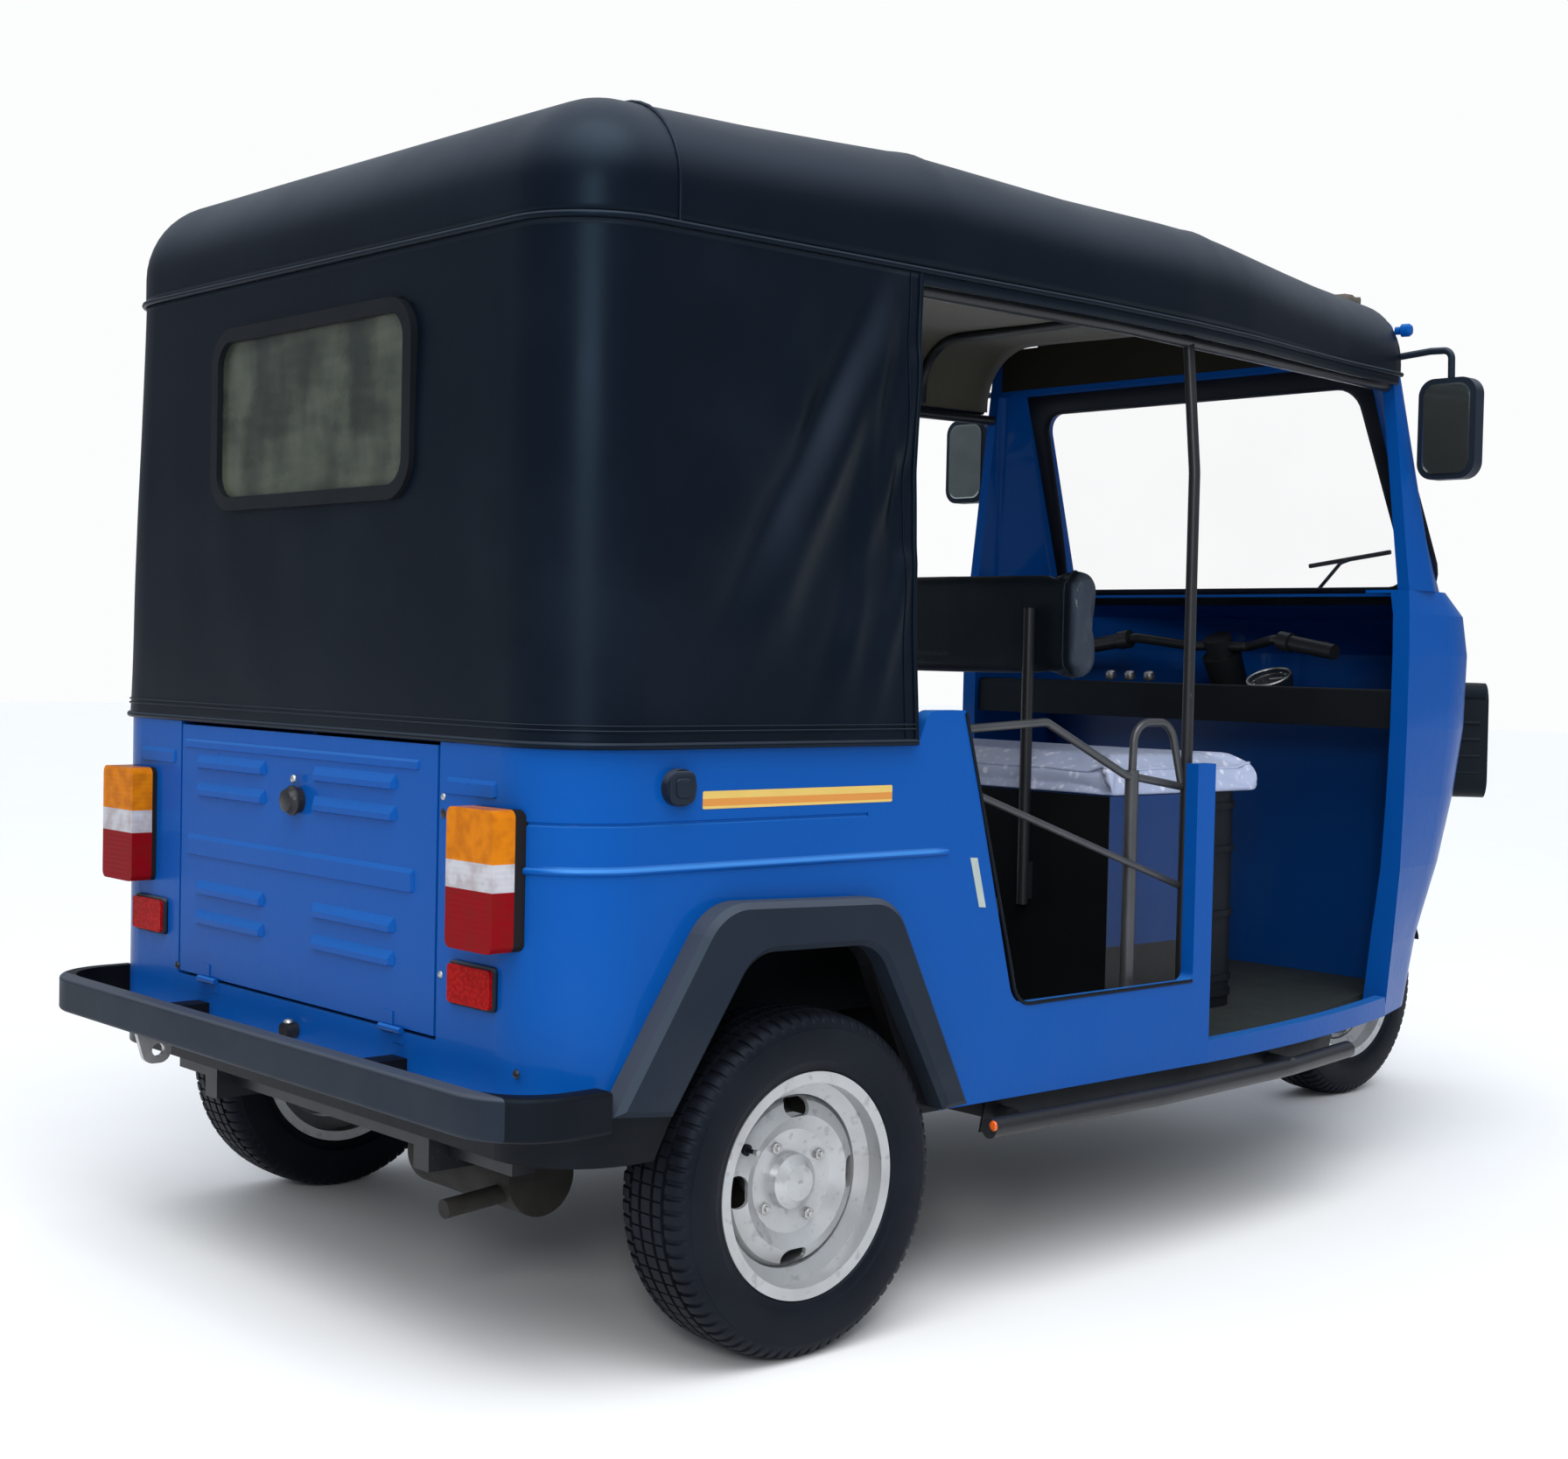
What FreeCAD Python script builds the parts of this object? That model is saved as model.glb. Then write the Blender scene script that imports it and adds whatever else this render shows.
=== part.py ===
"""Auto rickshaw: a three-wheeled passenger vehicle with a vinyl canopy.

Millimetres. +Z is up, the front wheel is towards -Y and the origin is on the floor under the middle of
the vehicle. Every driving size sits once in the sheet "Sizes"; every piece takes its sizes from there.
"""
import FreeCAD, Part
import Sketcher

import math
import os

from FreeCAD import Rotation, Vector

doc = FreeCAD.newDocument("auto_rickshaw")
sheet = doc.addObject("Spreadsheet::Sheet", "Sizes")

# name, millimetres or degrees, what it is
SIZES = (
    ("wheelbase", 2370, "front axle to rear axle"),
    ("front_overhang", 257, "front axle to the foremost point of the mudguard"),
    ("rear_overhang", 547, "rear axle to the back of the bumper"),
    ("track_inset", 34, "body side to the middle of a rear tyre"),
    ("tyre_radius", 254, "outside of the tyre"),
    ("tyre_width", 145, "section width of the tyre"),
    ("rim_radius", 153, "bead seat of the rim"),
    ("rim_flange", 13, "height of the rim flange over the bead seat"),
    ("rim_wall", 4, "sheet of the rim and its disc"),
    ("hub_radius", 42, "hub and its cap"),
    ("hub_reach", 60, "middle of the tyre to the inner end of the hub"),
    ("axle_radius", 16, "wheel axle"),
    ("wall", 26, "a body panel with its inner skin"),
    ("seat_gap", 0.3, "clearance at a piece that is only laid or pushed on"),
    ("body_half", 676, "half width of the body sides"),
    ("body_corner", 135, "plan radius of the rear body corners"),
    ("body_bottom", 322, "lower edge of the body sides"),
    ("body_top", 890, "upper edge of the rear body"),
    ("body_rear", 440, "rear axle to the rear face"),
    ("hatch_half", 386, "half width of the rear hatch"),
    ("hatch_bottom", 470, "lower edge of the rear hatch"),
    ("hatch_top", 884, "upper edge of the rear hatch"),
    ("hatch_gap", 6, "shut line round the hatch"),
    ("arch_clear", 89, "top of the tyre to the top of the wheel opening"),
    ("flare_width", 68, "moulding round the wheel opening, edge to edge"),
    ("sill_top", 470, "lower edge of the passenger opening"),
    ("entry_top", 360, "floor and lower edge of the driver's opening"),
    ("post_ahead", 982, "rear axle to the front face of the centre posts"),
    ("post_depth", 50, "centre post, front to rear"),
    ("post_top", 848, "top of the pressed centre posts"),
    ("shoulder_rise", 52, "rounded shoulder ahead of the curtain, over the body's top edge"),
    ("swage_height", 723, "raised line along the body sides"),
    ("pillar_half", 574, "half width at the windscreen pillars"),
    ("pillar_behind", 668, "front axle to the rear edge of the windscreen pillars"),
    ("seam_height", 1607, "piping seam round the canopy"),
    ("roof_top", 1790, "canopy top at the rear"),
    ("roof_rise", 21, "height of the second bow over the rear of the roof"),
    ("roof_fall", 24, "fall of the roof from its rear to its front"),
    ("roof_roll", 135, "radius where the roof rolls into the sides"),
    ("roof_inset", 3, "body side to the canopy at its seam"),
    ("roof_front_inset", 8, "windscreen pillars to the canopy's front corners"),
    ("canopy_rear", 428, "rear axle to the rear face of the canopy"),
    ("canopy_skin", 8, "vinyl with its padding"),
    ("hem_flare", 12, "body side to the outside of the canopy's hem"),
    ("curtain_ahead", 220, "rear axle to the front edge of the side curtains"),
    ("window_half", 300, "half width of the rear window"),
    ("window_low", 1236, "lower edge of the rear window"),
    ("window_high", 1531, "upper edge of the rear window"),
    ("tube", 22, "canopy frame tube diameter"),
    ("rake", 27, "steering axis from the vertical, degrees"),
    ("fork_offset", 64, "front axle ahead of the steering axis, level"),
    ("screen_behind", 434, "front axle to the windscreen's lower edge"),
    ("screen_lean", 154, "lower to upper edge of the windscreen, along the vehicle"),
    ("screen_low", 1190, "lower edge of the windscreen opening"),
    ("screen_high", 1600, "upper edge of the windscreen opening"),
    ("screen_inset", 112, "windscreen pillars to the windscreen opening at its foot"),
    ("screen_taper", 34, "how much narrower the opening is at its top, each side"),
    ("dash_height", 978, "lip of the dashboard tray"),
    ("seat_half", 450, "half width of the driver's bench"),
    ("seat_depth", 454, "depth of the driver's bench"),
    ("seat_height", 850, "top of the driver's cushion"),
    ("cushion", 75, "thickness of the driver's cushion"),
    ("bench_pad", 95, "thickness of the passenger cushion"),
    ("back_height", 435, "passenger backrest over its cushion"),
    ("deck_height", 452, "top of the rear deck"),
    ("bumper_height", 60, "bumper section height"),
    ("bumper_low", 378, "lower edge of the bumper"),
    ("bumper_out", 40, "body side to the outside of the bumper"),
    ("bumper_wall", 28, "bumper section depth"),
    ("arm_clear", 11.5, "side of the front tyre to the fork arm"),
    ("guard_gap", 22, "front tyre to its mudguard"),
    ("steer_room", 158, "radius of the well that the fork turns in"),
)

for row, (alias, number, meaning) in enumerate(SIZES, start=1):
    sheet.set(f"A{row}", alias)
    sheet.set(f"B{row}", str(number))
    sheet.set(f"C{row}", meaning)
    sheet.setAlias(f"B{row}", alias)
doc.recompute()


class Size:
    """A length that knows its present value and the formula that FreeCAD keeps for it."""

    def __init__(self, value, text):
        self.value, self.text = value, text

    @staticmethod
    def of(thing):
        return thing if isinstance(thing, Size) else Size(float(thing), f"({float(thing)!r})")

    def _join(self, other, sign, value):
        return Size(value, f"({self.text} {sign} {other.text})")

    def __add__(self, other):
        other = Size.of(other)
        return self._join(other, "+", self.value + other.value)

    def __sub__(self, other):
        other = Size.of(other)
        return self._join(other, "-", self.value - other.value)

    def __mul__(self, other):
        other = Size.of(other)
        return self._join(other, "*", self.value * other.value)

    def __truediv__(self, other):
        other = Size.of(other)
        return self._join(other, "/", self.value / other.value)

    def __radd__(self, other):
        return Size.of(other) + self

    def __rsub__(self, other):
        return Size.of(other) - self

    def __rmul__(self, other):
        return Size.of(other) * self

    def __neg__(self):
        return 0 - self

    def __float__(self):
        return float(self.value)


class Sheet:
    """Reads a size by its alias: S.wheelbase."""

    def __getattr__(self, alias):
        return Size(float(sheet.get(alias)), f"Sizes.{alias}")


S = Sheet()
NODES = {}

# Places that several pieces share.
REAR_AXLE = (S.wheelbase + S.front_overhang - S.rear_overhang) / 2
FRONT_AXLE = REAR_AXLE - S.wheelbase
REAR_FACE = REAR_AXLE + S.body_rear
CANOPY_REAR = REAR_AXLE + S.canopy_rear
HALF_TRACK = S.body_half - S.track_inset
RAKE = math.radians(float(S.rake))


def bind(obj, **sizes):
    for name, size in sizes.items():
        obj.setExpression(name, Size.of(size).text)
    return obj


def place(obj, x=0, y=0, z=0, rotation=None):
    """Moves an object to a bound position, turned by an optional fixed rotation."""
    if rotation is not None:
        obj.Placement = FreeCAD.Placement(Vector(0, 0, 0), rotation)
    for axis, size in zip("xyz", (x, y, z)):
        obj.setExpression(f"Placement.Base.{axis}", Size.of(size).text)
    return obj


TURNS = {"x": Rotation(Vector(0, 1, 0), 90), "y": Rotation(Vector(1, 0, 0), -90), "z": Rotation()}


def rod(name, start, axis, length, radius):
    """A round bar from start along +x, +y or +z."""
    made = doc.addObject("Part::Cylinder", name)
    bind(made, Radius=radius, Height=length)
    return place(made, *start, rotation=TURNS[axis])


def cut(name, base, *tools):
    tool = tools[0] if len(tools) == 1 else fuse(name + "_tools", *tools)
    made = doc.addObject("Part::Cut", name)
    made.Base, made.Tool = base, tool
    return made


def fuse(name, *pieces):
    made = doc.addObject("Part::MultiFuse", name)
    made.Shapes = list(pieces)
    made.Refine = True
    return made


def shaped(name, shape):
    """A free-form piece: its shape is worked out here from the sheet's values."""
    made = doc.addObject("Part::Feature", name)
    made.Shape = shape
    return made


def node(label, obj):
    obj.Label = label
    NODES[label] = obj
    return obj


# Sketch planes: role of the origin plane and the world axis across it. A pad grows along +X from YZ,
# along -Y from XZ and along +Z from XY.
PLANES = {"XY": ("XY_Plane", "z"), "XZ": ("XZ_Plane", "y"), "YZ": ("YZ_Plane", "x")}


def origin_feature(body, role):
    return next(f for f in body.Origin.OriginFeatures if f.Role == role)


def outline(body, name, plane, *loops):
    """A sketch of closed loops whose every corner is held by two bound distances from the origin."""
    sketch = body.newObject("Sketcher::SketchObject", name)
    sketch.AttachmentSupport = [(origin_feature(body, PLANES[plane][0]), "")]
    sketch.MapMode = "FlatFace"
    for points in loops:
        first, count = sketch.GeometryCount, len(points)
        flat = [Vector(float(Size.of(u)), float(Size.of(v)), 0) for u, v in points]
        for here, there in zip(flat, flat[1:] + flat[:1]):
            sketch.addGeometry(Part.LineSegment(here, there), False)
        for i in range(count):
            following = first + (i + 1) % count
            sketch.addConstraint(Sketcher.Constraint("Coincident", first + i, 2, following, 1))
        for i, (u, v) in enumerate(points):
            for kind, size in (("DistanceX", Size.of(u)), ("DistanceY", Size.of(v))):
                held = Sketcher.Constraint(kind, -1, 1, first + i, 1, float(size))
                sketch.setExpression(f"Constraints[{sketch.addConstraint(held)}]", size.text)
    return sketch


def panel(name, plane, at, depth, points, *holes):
    """A PartDesign body: an outline with holes, drawn on a plane at that height and padded by depth."""
    body = doc.addObject("PartDesign::Body", name)
    pad = body.newObject("PartDesign::Pad", name + "_pad")
    pad.Profile = outline(body, name + "_outline", plane, points, *holes)
    bind(pad, Length=depth)
    return place(body, **{PLANES[plane][1]: at})


def turned(name, profile, x=0, y=0, z=0):
    """A PartDesign body turned about the x direction: profile points are (along x, radius)."""
    body = doc.addObject("PartDesign::Body", name)
    sketch = outline(body, name + "_profile", "XY", profile)
    turn = body.newObject("PartDesign::Revolution", name + "_turn")
    turn.Profile = sketch
    turn.ReferenceAxis = (sketch, ["H_Axis"])
    turn.Angle = 360
    return place(body, x, y, z)


def rounded_wire(points, z=None):
    """A closed wire through (x, y, radius) corners at height z, each corner a tangent arc."""
    flat = [(float(Size.of(x)), float(Size.of(y)), float(Size.of(r))) for x, y, r in points]
    edges, ends = [], []
    for i, (x, y, r) in enumerate(flat):
        here = Vector(x, y, 0)
        before = (Vector(*flat[i - 1][:2], 0) - here).normalize()
        after = (Vector(*flat[(i + 1) % len(flat)][:2], 0) - here).normalize()
        if r <= 0:
            ends.append((here, None, here))
            continue
        half = before.getAngle(after) / 2
        reach = r / math.tan(half)
        middle = (before + after).normalize()
        inner = here + middle * (r / math.sin(half) - r)
        ends.append((here + before * reach, inner, here + after * reach))
    for i, (first, inner, last) in enumerate(ends):
        if inner is not None:
            edges.append(Part.Arc(first, inner, last).toShape())
        following = ends[(i + 1) % len(ends)][0]
        if (following - last).Length > 1e-6:
            edges.append(Part.makeLine(last, following))
    wire = Part.Wire(edges)
    if z is not None:
        wire.translate(Vector(0, 0, float(Size.of(z))))
    return wire


def bent_tube(points, radius, bend):
    """A round tube along straight runs joined by tangent arcs of one radius, or one for each corner."""
    bends = bend if isinstance(bend, (list, tuple)) else [bend] * (len(points) - 2)
    path = [Vector(*(float(Size.of(c)) for c in p)) for p in points]
    edges, last = [], path[0]
    for a, b, c, bend in zip(path, path[1:], path[2:], bends):
        before, after = (a - b).normalize(), (c - b).normalize()
        half = before.getAngle(after) / 2
        reach = bend / math.tan(half)
        middle = (before + after).normalize()
        first, inner, follow = b + before * reach, b + middle * (
            bend / math.sin(half) - bend), b + after * reach
        edges += [Part.makeLine(last, first), Part.Arc(first, inner, follow).toShape()]
        last = follow
    edges.append(Part.makeLine(last, path[-1]))
    start = path[1] - path[0]
    ring = Part.Wire([Part.makeCircle(radius, path[0], start)])
    return Part.Wire(edges).makePipeShell([ring], True, False)


# ---- wheels: pressed steel discs with four vents, tubeless tyres ------------------------------------
def tyre(name, x, y):
    """A tyre as one turned section: tread, rounded shoulders, bulging side walls and beads."""
    half, bead, crown = S.tyre_width / 2, S.rim_radius + S.seat_gap, S.tyre_radius
    side = (
        (half - 18, bead), (half - 18, bead + 15), (half - 5, bead + 24), (half, bead + 44),
        (half - 1, crown - 36),
        (half - 7, crown - 16), (half - 18, crown - 4), (half - 34, crown),
    )
    inside = ((half - 26, bead + 8), (half - 14, bead + 40), (half - 22, crown - 24), (half - 44, crown - 12))
    left = tuple((-u, v) for u, v in side)
    inner_left = tuple((-u, v) for u, v in inside)
    rim = (half - 26, bead)
    profile = side + left[::-1] + ((-rim[0], rim[1]),) + inner_left + inside[::-1] + (rim,)
    return turned(name, profile, x, y, S.tyre_radius)


def wheel(name, x, y, outward):
    """Rim well and flanges, a dished disc with four oval vents and a domed cap."""
    half = S.tyre_width / 2 - 14
    t, seat, flange = S.rim_wall, S.rim_radius, S.rim_radius + S.rim_flange
    hub, well = S.hub_radius, S.rim_radius - 22
    outer = (
        (-half - 4, flange), (-half, flange), (-half + 2, seat), (-half + 26, seat), (-half + 36, well),
        (half - 36, well), (half - 26, seat), (half - 2, seat), (half, flange), (half + 4, flange),
    )
    inner = (
        (half + 3, seat - t), (half - 24, seat - t), (half - 34, well - t),
        (-half + 34, well - t), (-half + 24, seat - t), (-half - 3, seat - t),
    )
    barrel = turned(name + "_barrel", outer + inner, x, y, S.tyre_radius)
    face = half - 30
    dish = (
        (face - 16, well - t + 1), (face, well - 12), (face + 10, hub + 56), (face - 4, hub + 34),
        (face - 8, hub), (face + 4, hub - 2), (face + 14, hub - 16), (face + 17, 0),
        (-S.hub_reach, 0), (-S.hub_reach, hub - 8), (face - 16, hub), (face - 10, hub + 34),
        (face + 4, hub + 56), (face - 7, well - 14), (face - 24, well - t + 1),
    )
    dish = tuple((u * outward, v) for u, v in dish)
    disc = turned(name + "_disc", dish, x, y, S.tyre_radius)
    vents = []
    for number in range(4):
        angle = math.radians(90 * number)
        radius = S.hub_radius + 68
        vents.append(oval(f"{name}_vent_{number}", x, y, angle, radius))
    return fuse(name, barrel, cut(name + "_vented_disc", disc, *vents))


def oval(name, x, y, angle, radius):
    """A slotted vent cutter along x, its long side round the wheel."""
    long_half, short_half, reach = 24, 13, 80
    corners = ((1, 1), (-1, 1), (-1, -1), (1, -1))
    flat = [(u * short_half, v * long_half, short_half - 0.01) for u, v in corners]
    prism = Part.Face(rounded_wire(flat, -reach)).extrude(Vector(0, 0, 2 * reach))
    made = shaped(name, prism)
    turn = Rotation(Vector(0, 1, 0), 90)
    roll = Rotation(Vector(1, 0, 0), math.degrees(angle))
    made.Placement = FreeCAD.Placement(Vector(0, 0, 0), roll * turn)
    up, along = math.cos(angle), -math.sin(angle)
    return place(made, x, y + radius * along, S.tyre_radius + radius * up, roll * turn)


for side, sign in (("left", 1), ("right", -1)):
    node(f"rear_tyre_{side}", tyre(f"rear_tyre_{side}", HALF_TRACK * sign, REAR_AXLE))
    node(f"rear_rim_{side}", wheel(f"rear_rim_{side}", HALF_TRACK * sign, REAR_AXLE, sign))
node("front_tyre", tyre("front_tyre", 0, FRONT_AXLE))
node("front_rim", wheel("front_rim", 0, FRONT_AXLE, -1))


# ---- small makers for the free-form pieces -----------------------------------------------------------
def flat(*sizes):
    """Present values of sizes, for the free-form pieces."""
    return tuple(float(Size.of(size)) for size in sizes)


TILTS = {"x": Rotation(Vector(1, 1, 1), 120), "y": Rotation(Vector(1, 0, 0), 90), "z": Rotation()}
ALONG = {"x": Vector(1, 0, 0), "y": Vector(0, -1, 0), "z": Vector(0, 0, 1)}


def plate(points, start, depth, axis="z"):
    """A flat outline of (u, v, radius) corners, thickened along +x, -y or +z from start."""
    solid = Part.Face(rounded_wire(points)).extrude(Vector(0, 0, float(Size.of(depth))))
    sign = -1 if axis == "y" else 1
    solid.Placement = FreeCAD.Placement(ALONG[axis] * (sign * float(Size.of(start))), TILTS[axis])
    return solid


def both(shape):
    """A shape of the left side with its mirror image, as separate solids."""
    return Part.Compound([shape, shape.mirror(Vector(0, 0, 0), Vector(1, 0, 0))])


def other_side(shape):
    return shape.mirror(Vector(0, 0, 0), Vector(1, 0, 0))


def symmetric(points):
    """Closes a half outline of (x, y, radius) corners, given from the rear forward, with its mirror image."""
    return points + [(-x, y, r) for x, y, r in reversed(points)]


def largest(shape):
    """The main solid of a cut that leaves slivers."""
    return max(shape.Solids, key=lambda solid: solid.Volume)


def block(low, high):
    low, high = flat(*low), flat(*high)
    return Part.makeBox(*(b - a for a, b in zip(low, high)), Vector(*low))


def bar(start, end, radius):
    start, end = Vector(*flat(*start)), Vector(*flat(*end))
    return Part.makeCylinder(radius, (end - start).Length, start, end - start)


def loft(*wires):
    return Part.makeLoft(list(wires), True, True)


# ---- rear body: formed sides, rear panel and hatch ---------------------------------------------------
REAR, AXLE, FRONT = flat(REAR_FACE, REAR_AXLE, FRONT_AXLE)
WALL, HALF, CORNER = flat(S.wall, S.body_half, S.body_corner)
LOW, TOP, SILL, ENTRY = flat(S.body_bottom, S.body_top, S.sill_top, S.entry_top)
POST, RADIUS = AXLE - float(S.post_ahead), float(S.tyre_radius)
JAMB_HALF, JAMB_REAR = float(S.pillar_half), FRONT + float(S.pillar_behind)
ENTRY_BOW = POST + 0.555 * (JAMB_REAR - POST)
INSIDE = HALF - WALL
REAR_HALF = HALF - CORNER - 2
ARCH_TOP = 2 * RADIUS + float(S.arch_clear)


def beside_tyre(lean, clear, z):
    """How far from the axle, at height z, a line stands that leans over the tyre and stays clear of it."""
    lean = math.radians(lean)
    return (RADIUS + clear - (z - RADIUS) * math.sin(lean)) / math.cos(lean)


# Wheel opening, as (distance behind the axle, height, corner radius): its ends lean over the tyre.
ARCH = (
    (-beside_tyre(25, 5, LOW - 60), LOW - 60, 0), (-beside_tyre(25, 5, ARCH_TOP), ARCH_TOP, 70),
    (beside_tyre(28.3, 14, ARCH_TOP + 5), ARCH_TOP + 5, 70), (beside_tyre(28.3, 14, LOW - 60), LOW - 60, 0))


def arch(grow, depth_from, depth):
    """The wheel opening's outline grown outward and thickened along x."""
    rise = grow * 0.62
    points = [(AXLE + y + math.copysign(grow if z < 500 else rise, y), z + (rise if z > 500 else 0), r)
              for y, z, r in ARCH]
    return plate(points, depth_from, depth, "x")


CURTAIN = AXLE - float(S.curtain_ahead)
SHOULDER = TOP + float(S.shoulder_rise)
SWAGE = float(S.swage_height)
# Lines pressed along the side: height, where each starts and how far it stands out.
SIDE_LINES = ((SWAGE, AXLE - 304, 5), (SWAGE + 64, AXLE - 131, -3))


def side_shape():
    outer = [(HALF, POST, 0), (HALF, REAR, CORNER), (REAR_HALF, REAR, 0)]
    inner = [(REAR_HALF, REAR - WALL, 0), (INSIDE, REAR - WALL, CORNER - WALL), (INSIDE, POST, 0)]
    shell = Part.Face(rounded_wire(outer + inner, LOW)).extrude(Vector(0, 0, SHOULDER - LOW))
    post_rear = POST + float(S.post_depth)
    opening = [
        (post_rear, SILL, 18), (AXLE - 465, SILL, 40), (AXLE - 338, SHOULDER, 0),
        (AXLE - 338, SHOULDER + 50, 0),
        (POST - 50, SHOULDER + 50, 0), (POST - 50, float(S.post_top), 0), (post_rear, float(S.post_top), 0),
    ]
    shell = shell.cut(plate(shoulder_relief(), INSIDE - 200, 400, "x"))
    shell = shell.cut(plate(opening, INSIDE - 200, 400, "x")).cut(arch(0, INSIDE - 200, 400))
    shell = shell.fuse(entry_sill(0, LOW, ENTRY)).removeSplitter()
    for height, first, depth in SIDE_LINES:
        bead = pressed_bead(height, first, abs(depth))
        shell = shell.fuse(bead) if depth > 0 else shell.cut(bead)
    return shell


def shoulder_relief():
    """What is taken off above the body's top edge, leaving a rounded shoulder ahead of the curtain."""
    return [(CURTAIN - 16, TOP, 20), (CURTAIN - 36, SHOULDER, 26), (AXLE - 345, SHOULDER, 18),
            (AXLE - 372, SHOULDER - 14, 0),
            (AXLE - 372, SHOULDER + 80, 0), (REAR + 80, SHOULDER + 80, 0), (REAR + 80, TOP, 0)]


def pressed_bead(height, first, size):
    """A rod half sunk in the body side that runs back along it and round the rear corner."""
    route = [Vector(HALF, first, height), Vector(HALF, REAR - CORNER, height)]
    turn, swing = Vector(HALF - CORNER, REAR - CORNER, height), math.radians(45)
    middle = turn + Vector(math.cos(swing), math.sin(swing), 0) * CORNER
    edges = [Part.makeLine(*route), Part.Arc(route[1], middle, Vector(HALF - CORNER, REAR, height)).toShape()]
    start = Part.Wire([Part.makeCircle(size, route[0], Vector(0, 1, 0))])
    return Part.Wire(edges).makePipeShell([start], True, False)


def entry_sill(inset, low, high):
    """The sill under the driver's entry, which sweeps inward to the windscreen pillar."""
    bow = (HALF + JAMB_HALF) / 2 + 15
    ends = [Vector(HALF - inset, POST, low), Vector(bow - inset, ENTRY_BOW, low),
            Vector(JAMB_HALF - inset, JAMB_REAR, low)]
    inner = [Vector(p.x - WALL, p.y, p.z) for p in ends]
    wire = Part.Wire([
        Part.Arc(*ends).toShape(), Part.makeLine(ends[2], inner[2]),
        Part.Arc(*inner[::-1]).toShape(), Part.makeLine(inner[0], ends[0])])
    return Part.Face(wire).extrude(Vector(0, 0, high - low))


side = side_shape()
node("side_panel_left", shaped("side_panel_left", side))
node("side_panel_right", shaped("side_panel_right", other_side(side)))

HATCH_EDGE = S.hatch_half + S.hatch_gap
HINGE_Y, HINGE_Z, HINGE_R = REAR + 5.5, float(S.hatch_bottom) - 3, 4.5
frame = panel(
    "rear_frame", "XZ", REAR_FACE, S.wall,
    ((-REAR_HALF, S.body_bottom), (REAR_HALF, S.body_bottom), (REAR_HALF, S.body_top),
     (HATCH_EDGE, S.body_top),
     (HATCH_EDGE, S.hatch_bottom - S.hatch_gap), (-HATCH_EDGE, S.hatch_bottom - S.hatch_gap),
     (-HATCH_EDGE, S.body_top), (-REAR_HALF, S.body_top)))
sheet_metal = panel(
    "hatch_sheet", "XZ", REAR_FACE, 12,
    ((-S.hatch_half, S.hatch_bottom), (S.hatch_half, S.hatch_bottom), (S.hatch_half, S.hatch_top),
     (-S.hatch_half, S.hatch_top)))


def hinge_leaf(x, low, high):
    """One barrel of a hatch hinge with the leaf that screws to the panel face."""
    return bar((x, HINGE_Y, HINGE_Z), (x + 29, HINGE_Y, HINGE_Z), HINGE_R).fuse(
        block((x, REAR, low), (x + 29, REAR + 2, high)))


def pressing(x0, x1, low, high, out, slope):
    """A raised rib of the rear face: its outline drawn outward to a smaller one, sloping mostly above."""
    def ring(inset, top_inset, y):
        return rounded_wire([(x0 + inset, low + inset / 3, 3), (x1 - inset, low + inset / 3, 3),
                             (x1 - inset, high - top_inset, 3), (x0 + inset, high - top_inset, 3)], -y)
    rib = loft(ring(0, 0, REAR - 1), ring(out, slope, REAR + out))
    rib.Placement = FreeCAD.Placement(Vector(), TILTS["y"])
    return rib


EDGE, HIGH = float(S.hatch_half), float(S.hatch_top)
# Two pairs of louvres above a belt and two below it, all under a ledge at the hatch's upper edge.
ledge = pressing(46 - EDGE, EDGE - 6, HIGH - 38, HIGH - 22, 3, 5)
belt = pressing(56 - EDGE, EDGE - 22, HIGH - 216, HIGH - 179, 4, 9)
louvres = [pressing(x0, x1, HIGH - drop, HIGH - drop + 26, 7, 15) for drop in (71, 117, 280, 329)
           for x0, x1 in ((106 - EDGE, -44), (104, EDGE - 54))]
corner_rib = pressing(EDGE + 24, REAR_HALF - 6, TOP - 73, TOP - 47, 3, 8)
pressed = [shaped(f"hatch_pressing_{n}", rib) for n, rib in enumerate([ledge, belt] + louvres)]
leaves = [hinge_leaf(x, HINGE_Z - 20, HINGE_Z) for x in (250, -310)] + [corner_rib, other_side(corner_rib)]
flaps = [hinge_leaf(x, HINGE_Z, HINGE_Z + 24) for x in (279.3, -280.7)]
node("rear_panel", fuse("rear_panel", frame,
                        *(shaped(f"rear_fitting_{n}", leaf) for n, leaf in enumerate(leaves))))
node("rear_hatch", fuse(
    "rear_hatch", sheet_metal, *pressed, *(shaped(f"hinge_flap_{n}", leaf) for n, leaf in enumerate(flaps))))
LOCK_Z = HIGH - 103
lock = rod("lock_body", (0, REAR, LOCK_Z), "y", 14, 20)
node("hatch_lock", fuse("hatch_lock", lock, rod("lock_knob", (0, REAR + 14, LOCK_Z), "y", 10, 13)))

# ---- floor, rear deck with wheel housings, chassis ---------------------------------------------------
RISER, HOUSING, DECK = AXLE - 455, ARCH_TOP + 43, float(S.deck_height)
ROOM = HALF - 240
deck_section = [
    (-INSIDE + 0.3, HOUSING, 0), (-ROOM, HOUSING, 0), (-ROOM, DECK, 0), (ROOM, DECK, 0), (ROOM, HOUSING, 0),
    (INSIDE - 0.3, HOUSING, 0), (INSIDE - 0.3, HOUSING - 6, 0), (ROOM + 6, HOUSING - 6, 0),
    (ROOM + 6, DECK - 6, 0),
    (-ROOM - 6, DECK - 6, 0), (-ROOM - 6, HOUSING - 6, 0), (-INSIDE + 0.3, HOUSING - 6, 0)]
riser = [
    (-INSIDE + 0.3, LOW, 0), (INSIDE - 0.3, LOW, 0), (INSIDE - 0.3, HOUSING, 0), (ROOM, HOUSING, 0),
    (ROOM, DECK, 0),
    (-ROOM, DECK, 0), (-ROOM, HOUSING, 0), (-INSIDE + 0.3, HOUSING, 0)]
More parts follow.
